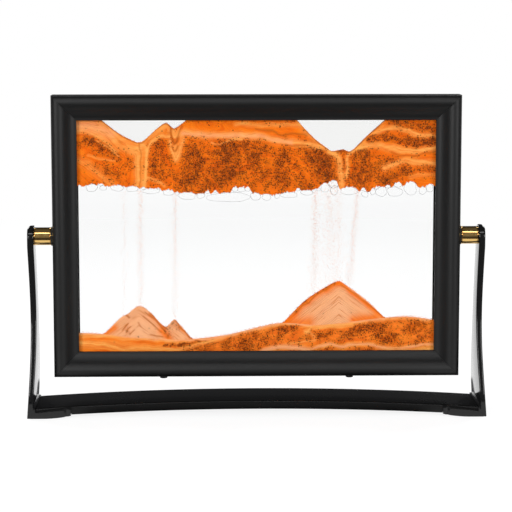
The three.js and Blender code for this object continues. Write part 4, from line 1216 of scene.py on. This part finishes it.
middle_bands = in_tone("orange", [
    (0.9, 3.4, (-36, 60.5), (-10, 59.5), (10, 58.5), (24, 57)),
]) + in_tone("pale", [
    (0.95, 1.5, (-41, 56), (-39.9, 57.5), (-35.5, 56.9), (-29.1, 55.9), (-16.3, 55.6), (0.8, 55.2),
     (9.3, 53.3), (18.9, 52), (27.2, 50.7), (35.5, 49.6)),
]) + in_tone("ash", [
    (0.4, 0.9, (-39.9, 57), (-29.1, 55.9), (-16.3, 55.6), (0.8, 55.2), (9.3, 53.3), (18.9, 52)),
]) + in_tone("pale", [
    (0.6, 1.1, (-11.2, 62), (0.8, 61.6), (9.3, 61.6), (18.8, 61.9), (24.6, 61.3)),
    (0.7, 0.5, (-24.6, 52.1), (-20.2, 50.8), (-14.4, 53.4), (-8.7, 53.4)),
]) + in_tone("deep", [
    (0.6, 0.5, (-0.3, 59.1), (8.6, 58.1), (13.7, 55.9), (20.8, 56.5), (28.4, 56.2)),
    (0.5, 0.3, (16, 50.6), (30, 49.6)),
])
right_flow = in_tone("pale", [
    (0.6, 1.2, (23, 63.5), (28.4, 56.8), (34.2, 51.3), (39.4, 47.8), (43.9, 46.2)),
    (0.55, 1, (52.2, 47.1), (57.3, 51), (63, 56.7), (70.6, 63.4)),
    (0.9, 1.5, (39.4, 46.5), (43.9, 44.3), (46.1, 39.5), (47.2, 27.9)),
    (0.9, 0.9, (55.4, 48.1), (50.9, 45.2), (50, 39.4), (49.4, 33)),
    (0.85, 1.1, (64.3, 57), (69.4, 58.8), (76.4, 59.9), (82.2, 58.5), (89.3, 55.7), (100.1, 55.2)),
    (0.95, 1.5, (56, 48.7), (63.7, 50.4), (70.1, 49.5), (80.4, 47.6), (89.4, 47.1), (100.2, 49.1)),
    (0.85, 1.5, (70.2, 37.5), (76.6, 39.9), (83, 41.6), (91.4, 40.6), (100.3, 39.8)),
    (0.4, 1.2, (85, 32.9), (92.7, 34.2), (100.3, 32.9)),
]) + in_tone("dark", [
    (0.85, 1.5, (62.5, 53.3), (69.9, 54.7), (79.1, 52.7), (88.3, 51.2), (98.6, 53.3)),
]) + in_tone("deep", [
    (0.5, 0.35, (74.6, 46.4), (83.8, 44.2), (93.0, 45.3), (98.7, 46.4)),
    (0.45, 0.4, (73.5, 61.6), (84.6, 60.2), (91.9, 58.3), (98.9, 56.8)),
    (0.4, 0.4, (77.2, 62.9), (88.2, 61.7), (98.8, 59.9)),
]) + in_tone("dark", [
    (0.7, 1.6, (70.1, 30.9), (74.7, 32.1), (79.3, 33.9), (84.8, 36.2)),
    (0.4, 1.4, (88.5, 36.7), (98.6, 36.7)), (0.5, 0.7, (47.9, 45.1), (48.2, 40.9), (48.1, 36.8)),
])
print("bands", len(left_flow), len(middle_bands), len(right_flow))

# %% Upper sand
UPPER_ROWS = 84
middle_share = np.clip((55 - np.abs(across)) / 20, 0, 1)
sand_body(
    "hanging_sand", across, underside, surface, UPPER_ROWS, {"dark": 0.115 + 0.13 * middle_share},
    older_layers + left_flow + middle_bands + right_flow + rim_lines, "upper_sand",
)

# %% [markdown]
# ## Sand: dunes and mounds
# What has fallen lies as a bed of dunes, with a twin mound on the left and a sharp one on the right, right
# under the craters that feed them. Fresh sand slides down both sides of a mound, so its layers run parallel
# to its slopes. The stripes are a rule of the depth below the surface, and only the stronger marks are
# strokes.

# %% Dune strokes
dune_crest = [
    (-100, -83.9), (-85.8, -85), (-62.8, -88.5), (-36.8, -89.6), (-16, -85.9), (1.9, -79.2),
    (15.1, -75.8), (33.8, -77.7), (48.9, -75.7), (67.7, -72.4), (85.6, -70.7), (100, -73.8),
]
crest = line_height(across, dune_crest) + ripple(across, level_line, (0.15, 0.9, 11))
broad_spots = ((-29.6, -64.2), (-16.6, -61), (-6.9, -58.4), (-6.9, -63.7), (-1.1, -55.8))
small_spots = ((38.6, -63.9), (19.1, -64.4), (64.5, -64), (1.6, -62.4))
near_stratum = [(3.5, -64.7), (9.3, -63.1), (15.8, -62.3), (22.3, -63.1), (28.8, -64.5)]
far_stratum = [
    (30.8, -63.8), (36, -61.9), (41.8, -61.1), (47.6, -62.6), (51.5, -61.6), (58, -61.3),
    (64.5, -61.7), (73, -63.7), (84.1, -62.9), (91.8, -61.8), (99, -61.5),
]
dune_strokes = in_tone("dark", [
    (0.75, 0.9, (-51.6, -61.5), (-42.5, -60.9), (-36, -60.2), (-24.4, -58)),
    (0.9, 0.9, (-42.5, -65), (-36.1, -62.9), (-28.3, -60.9)), *((0.6, 3, spot) for spot in broad_spots),
    (0.75, 1.6, (12.6, -51.6), (21, -51.6)), (0.5, 1.6, (12.6, -55.9)), (0.5, 2.5, (4.8, -58.5)),
    (0.7, 1.6, (34.6, -56.6), (41.1, -54.7)), (0.8, 2, (52.8, -54.1), (61.9, -50.8), (70.9, -50.9)),
    (0.8, 2.6, (67.7, -56.8), (76.2, -58.1)), (0.75, 2.6, (85.9, -52.2), (92.4, -50.3)),
    (0.45, 2.5, (90.5, -60.8)), *((0.6, 1.5, spot) for spot in small_spots),
]) + in_tone("pale", [
    (0.8, 1.2, *zip(across[::8], crest[::8] - 0.4)),
]) + in_tone("ash", [
    (0.6, 0.6, *zip(across[::8], crest[::8] - 0.2)),
]) + in_tone("orange", [
    (0.75, 0.9, (-98.4, -58.2), (-85.4, -57.5), (-66.9, -59.1), (-52.1, -60.3)),
    (0.75, 1.0, (-98.5, -63.5), (-85.5, -64.1), (-73.5, -65.3)),
    (0.6, 0.7, (-65.1, -62.7), (-55.8, -63.1), (-46.5, -62.8)),
]) + in_tone("pale", [
    (0.5, 0.7, (-96.7, -56.7), (-85.1, -55.8), (-71.6, -58.1), (-55.4, -56.9), (-47, -58.2)),
    (0.8, 0.8, (-98.7, -59.6), (-91, -60), (-81.3, -61), (-73.6, -63), (-61.9, -62.7), (-43.8, -63.8),
     (-36.1, -62.2), (-28.3, -59.6), (-19.9, -57.4)),
    (0.9, 1.0, (27.5, -54), (30.7, -51.7), (35.9, -50.7), (52.8, -49.8)), (0.95, 1.2, *near_stratum),
    (0.95, 1.0, *far_stratum),
]) + in_tone("ash", [
    (0.6, 1.0, *near_stratum), (0.5, 0.6, *far_stratum),
]) + in_tone("pale", [
    (0.55, 0.7, (26.8, -53.3), (30.1, -54.6), (32, -58.6), (19.1, -60.5)),
    (0.9, 1.1, (74.3, -65), (87.3, -64.8), (99, -64.2)),
])
print("dune strokes", len(dune_strokes))

# %% Dunes
DUNE_ROWS, HEAP_LEAN = 40, 0.5
settled = np.clip((across + 38) / 16, 0, 1)
dune_ground = {"dark": 0.04 + 0.16 * settled, "pale": 0.15 + 0.25 * (1 - settled)}
cell_floor = np.full(across.size, -FILL_HALF_HEIGHT)
sand_body("dunes", across, cell_floor, crest, DUNE_ROWS, dune_ground, dune_strokes, "dune_bed", HEAP_LEAN)

# %% Layers of a mound
SLIDE_SLOPE, LAYER_GAP, LINE_SHARE = 0.79, 1.25, 0.55
MOUND_ROWS, MOUND_COLUMN = 60, 0.3


def mound(name, points, peaks, ground, strokes, node):
    low_x, high_x = (points[k][0] / 100 * FILL_HALF_WIDTH for k in (0, -1))
    x = np.linspace(low_x, high_x, int((high_x - low_x) / MOUND_COLUMN))
    level_line = np.zeros(x.size)
    foot = np.interp(x, across, crest)
    top = np.maximum(line_height(x, points) + ripple(x, level_line, (0.1, 0.7, 12)), foot + 0.02)
    z = foot + (top - foot) * np.linspace(0, 1, MOUND_ROWS + 1)[:, None]
    roof = np.max([peak_z - SLIDE_SLOPE * np.abs(x - peak_x) for peak_x, peak_z in peaks], axis=0)
    layer = (roof - z) / LAYER_GAP + ripple(x, level_line, (0.5, 4, 13))
    lines = np.clip(np.sin(2 * math.pi * layer) * 2 - 1, 0, 1) * (0.6 + 0.4 * np.sin(layer * 0.9))
    ground = {**ground, "deep": LINE_SHARE * lines, "flow": roof - z}
    sand_body(name, x, foot, top, MOUND_ROWS, ground, strokes, node, HEAP_LEAN)
    return x, top


print("layers", LAYER_GAP, "mm apart")

# %% Left mound
left_mound = [
    (-86.3, -85.9), (-76.8, -71.2), (-72.6, -67.6), (-66.2, -60.8), (-59.9, -66.2),
    (-51.8, -78.6), (-46.7, -72.9), (-44, -75.8), (-36.2, -90.5),
]
left_slides = in_tone("ash", [
    (0.5, 5, (-64.5, -52)),
]) + in_tone("orange", [
    (0.9, 2, (-84, -54.5), (-79.3, -51)), (0.9, 2, (-52.8, -52.9), (-49, -56.9)),
    (0.7, 0.8, (-59.2, -44.5), (-55.4, -48), (-51.5, -51)),
    (0.8, 0.9, (-42.5, -51), (-38.6, -54.9), (-36, -58)),
]) + in_tone("deep", [
    (0.7, 0.4, (-72.5, -43.9), (-71.2, -45.0)), (0.6, 0.3, (-71.3, -48.7), (-74.4, -52.7)),
    (0.6, 0.3, (-70.0, -50.3), (-72.8, -54.0)), (0.5, 0.3, (-68.2, -52.0), (-70.6, -55.0)),
    (0.65, 0.3, (-62.1, -42.7), (-55.7, -47.9), (-50.9, -53.0)),
    (0.6, 0.3, (-59.5, -43.3), (-53.8, -48.3), (-50.1, -52.1)),
    (0.5, 0.3, (-63.1, -45.0), (-57.5, -49.7), (-53.1, -54.0)),
    (0.55, 0.35, (-45.5, -47.4), (-40.9, -52.2), (-37.2, -56.9)),
]) + in_tone("dark", [
    (0.3, 1.2, (-50.6, -52.1), (-49.2, -55.4)), (0.25, 1.0, (-72.4, -50.1), (-71.5, -53.4)),
    (0.2, 1.5, (-46.4, -49.3), (-43.7, -51.7)),
]) + in_tone("deep", [
    (0.5, 0.3, (-59.4, -55.2), (-55.7, -56.0), (-52.0, -56.4)), (0.45, 0.3, (-65.9, -48.3), (-64.5, -50.7)),
])
left_peaks, left_ground = [(-65.5, -39.2), (-46.2, -47)], {"pale": 0.3, "ash": 0.76, "dark": 0.035}
left_top = mound("left_hill", left_mound, left_peaks, left_ground, left_slides, "left_mound")

# %% Right mound
right_mound = [
    (14.7, -76.3), (27.2, -56.6), (39.4, -44.2), (45.5, -39.7), (48.8, -41.4), (61.9, -56.7), (72.7, -72.6),
]
right_slides = in_tone("ash", [
    (0.6, 5, (46.2, -40.9)),
]) + in_tone("orange", [
    (0.95, 2.1, (15.2, -49.5), (21, -43.6), (27.4, -37.5), (33.2, -33.3), (39.7, -29.4), (44.9, -26.8)),
    (0.95, 1.3, (44.9, -26.6), (48.7, -28), (53.3, -32), (61.8, -38.7), (71.6, -47)),
    (0.85, 3.2, (17, -48.5), (29, -48.5)), (0.9, 2.6, (54, -47.5), (66, -46)),
]) + in_tone("dark", [
    (0.5, 1.0, (20.0, -42.6), (27.9, -35.3), (37.1, -29.1), (42.7, -26.7)),
]) + in_tone("deep", [
    (0.5, 0.28, (21.8, -42.7), (31.6, -35.1), (40.4, -28.8)),
    (0.4, 0.28, (46.9, -27.8), (53.9, -31.6), (61.3, -37.8), (70.7, -46.0)),
])
right_peaks, right_ground = [(45.8, -25.6)], {"pale": 0.35, "ash": 0.74, "dark": 0.035}
right_top = mound("right_hill", right_mound, right_peaks, right_ground, right_slides, "right_mound")

# %% [markdown]
# ## Falling and loose grains
# A trickle is a row of separate grains, so it is grown by a rule: points on a line, pushed aside at random,
# and further the lower they are, each with one small ball of a few faces. The same idea with points spread
# over a strip puts loose grains on the crests, in the craters and along the ragged underside. Each tree has
# a fixed seed, so it grows the same sand every time.

# %% Grains on points
TURN_SEED, SCALE_SEED, GATHER_SEED = 31, 32, 33
OPEN_AT_START, OPEN_BY_END = 0.75, 0.7


def random_vector(nodes, low, high, seed):
    sockets = {0: low, 1: high, "Seed": seed}
    return nodes.node("FunctionNodeRandomValue", {"data_type": "FLOAT_VECTOR"}, sockets)


def times(nodes, first, second):
    return nodes.node("ShaderNodeVectorMath", {"operation": "MULTIPLY"}, {0: first, 1: second})


def grains_on(nodes, given, points):
    ball = nodes.node("GeometryNodeMeshIcoSphere", {}, {"Radius": given.out("Grain"), "Subdivisions": 1})
    end_tree(nodes, given, nodes.node("GeometryNodeInstanceOnPoints", {}, {
        "Points": points, "Instance": ball,
        "Rotation": random_vector(nodes, (0, 0, 0), (6.28, 6.28, 6.28), TURN_SEED),
        "Scale": random_vector(nodes, (0.6, 0.6, 0.6), (1.4, 1.4, 1.4), SCALE_SEED),
    }))


print("grains ready")

# %% Grain trees
trickle_tree = bpy.data.node_groups.new("trickle", "GeometryNodeTree")
trickle_ids = add_inputs(trickle_tree, {
    "Count": "NodeSocketInt", "Spread": "NodeSocketVector", "Seed": "NodeSocketInt",
    "Grain": "NodeSocketFloat", "Finish": "NodeSocketMaterial",
})
nodes = Nodes(trickle_tree)
given = nodes.node("NodeGroupInput")
on_line = nodes.node("GeometryNodeCurveToPoints", {"mode": "COUNT"}, {
    "Curve": nodes.node("GeometryNodeMeshToCurve", {}, {"Mesh": given}), "Count": given.out("Count"),
})
fallen = nodes.node("GeometryNodeInputIndex") / given.out("Count")
sideways = OPEN_AT_START + fallen * OPEN_BY_END
opened = nodes.node("ShaderNodeCombineXYZ", {}, {"X": sideways, "Y": 1.0, "Z": 1.0})
push = times(nodes, random_vector(nodes, (-1, -1, -1), (1, 1, 1), given.out("Seed")), given.out("Spread"))
push = times(nodes, push, random_vector(nodes, (0.1, 1, 1), (1, 1, 1), GATHER_SEED))
push = times(nodes, push, opened)
grains_on(nodes, given, nodes.node("GeometryNodeSetPosition", {}, {"Geometry": on_line, "Offset": push}))

strewn_tree = bpy.data.node_groups.new("strewn grains", "GeometryNodeTree")
strewn_ids = add_inputs(strewn_tree, {
    "Density": "NodeSocketFloat", "Seed": "NodeSocketInt", "Grain": "NodeSocketFloat",
    "Finish": "NodeSocketMaterial",
})
nodes = Nodes(strewn_tree)
given = nodes.node("NodeGroupInput")
grains_on(nodes, given, nodes.node("GeometryNodeDistributePointsOnFaces", {}, {
    "Mesh": given, "Density": given.out("Density"), "Seed": given.out("Seed"),
}))
print("grain trees", trickle_tree.name, "and", strewn_tree.name)

# %% Trickles
FALL_GRAIN, FALL_DEPTH, FALL_JITTER, FALL_GAP, FALL_SEED = 0.11, 1.2, 0.6, 0.5, 40
loose_sand, nodes, place = new_finish("loose_sand")
pick = nodes.channel(nodes.grains(place, 0.0009), "Red")
tint = nodes.blend(nodes.between(pick, 0.35, 0.65), colour(0.88, 0.24, 0.03), colour(0.90, 0.46, 0.24))
tint = nodes.blend(nodes.between(pick, 0.12, 0.05), tint, colour(0.16, 0.05, 0.03))
nodes.principled({
    "Base Color": tint, "Roughness": 0.8 + nodes.noise(place, 0.0006) * 0.15, "Specular IOR Level": 0.15,
})
trickles = [
    (-64.2, -64.6, 2.9, 800, "sand_stream_1"), (-45.0, -45.6, 2.9, 800, "sand_stream_2"),
    (32.4, 32.0, 3.4, 900, "sand_stream_3"), (56.0, 51.5, 2.9, 800, "sand_stream_4"),
    (-73.3, -73.6, 2.8, 280, None), (45.0, 45.6, 3.0, 300, None), (40.5, 41.5, 11.0, 1500, None),
]
for number, (from_x, to_x, half_wide, count, node) in enumerate(trickles):
    hill = left_top if to_x < 0 else right_top
    landing = max(np.interp(to_x, across, crest), np.interp(to_x, *hill, left=-99, right=-99))
    start = float(np.interp(from_x, across, underside)) - FALL_GAP
    line = bpy.data.meshes.new("fall line")
    line.from_pydata([
        (x * MM, 0, (PIVOT_HEIGHT + z) * MM) for x, z in ((from_x, start), (to_x, float(landing) + FALL_GAP))
    ], [(0, 1)], [])
    fall = grow(f"trickle_{number + 1}", trickle_tree, trickle_ids, line, {
        "Count": count, "Spread": (half_wide * MM, FALL_DEPTH * MM, FALL_JITTER * MM),
        "Seed": FALL_SEED + number, "Grain": FALL_GRAIN * MM, "Finish": loose_sand,
    })
    fit(fall, "picture", "sand", *([node] if node else []))

# %% Loose grains
STRIP_HALF, LOOSE_GRAIN, LOOSE_DENSITY, LOOSE_SEED = 1.6, 0.16, 0.9e6, 60


def strip(x, z, rise):
    count = len(x)
    corners = [
        (a * MM, y * MM, (PIVOT_HEIGHT + b + up) * MM)
        for y, up in ((-STRIP_HALF, 0), (STRIP_HALF, rise)) for a, b in zip(x, z)
    ]
    mesh = bpy.data.meshes.new("strip")
    mesh.from_pydata(corners, [], [(i, i + 1, count + i + 1, count + i) for i in range(count - 1)])
    return mesh


craters = surface < FILL_HALF_HEIGHT - 0.3
in_left, in_right = craters & (across < 0), craters & (across > 0)
strewn = {
    "loose_on_dunes": (across, crest, 0.25),
    "loose_on_left_hill": (*left_top, 0.3),
    "loose_on_right_hill": (*right_top, 0.3),
    "loose_under_sand": (across, underside, -0.5),
    "loose_in_left_crater": (across[in_left], surface[in_left], 0.3),
    "loose_in_right_crater": (across[in_right], surface[in_right], 0.3),
}
for number, (name, (xs, zs, rise)) in enumerate(strewn.items()):
    grains = grow(name, strewn_tree, strewn_ids, strip(xs, zs, rise), {
        "Density": LOOSE_DENSITY, "Seed": LOOSE_SEED + number, "Grain": LOOSE_GRAIN * MM,
        "Finish": loose_sand,
    })
    fit(grains, "picture", "sand")

# %% [markdown]
# ## Finishes for the solids that stay
# The panes, the gasket, the liquid in the craters, the corner keys and the thread inserts have the right
# shape already, so they only need their finish.

# %% Dress the solids
CORNERS = ("top_left", "top_right", "bottom_right", "bottom_left")
stays = {
    pane_glass: ("front_pane", "rear_pane"),
    crater_liquid: ("left_crater_liquid", "right_crater_liquid"),
    seal_rubber: ("gasket",),
    brass: ("thread_insert_left", "thread_insert_right"),
    key_plastic: tuple(f"corner_key_{corner}" for corner in CORNERS),
}
for finish, names in stays.items():
    for name in names:
        mesh = frame["nodes"][name].data
        mesh.materials.clear()
        mesh.materials.append(finish)
print("dressed", sum(len(names) for names in stays.values()), "solids")
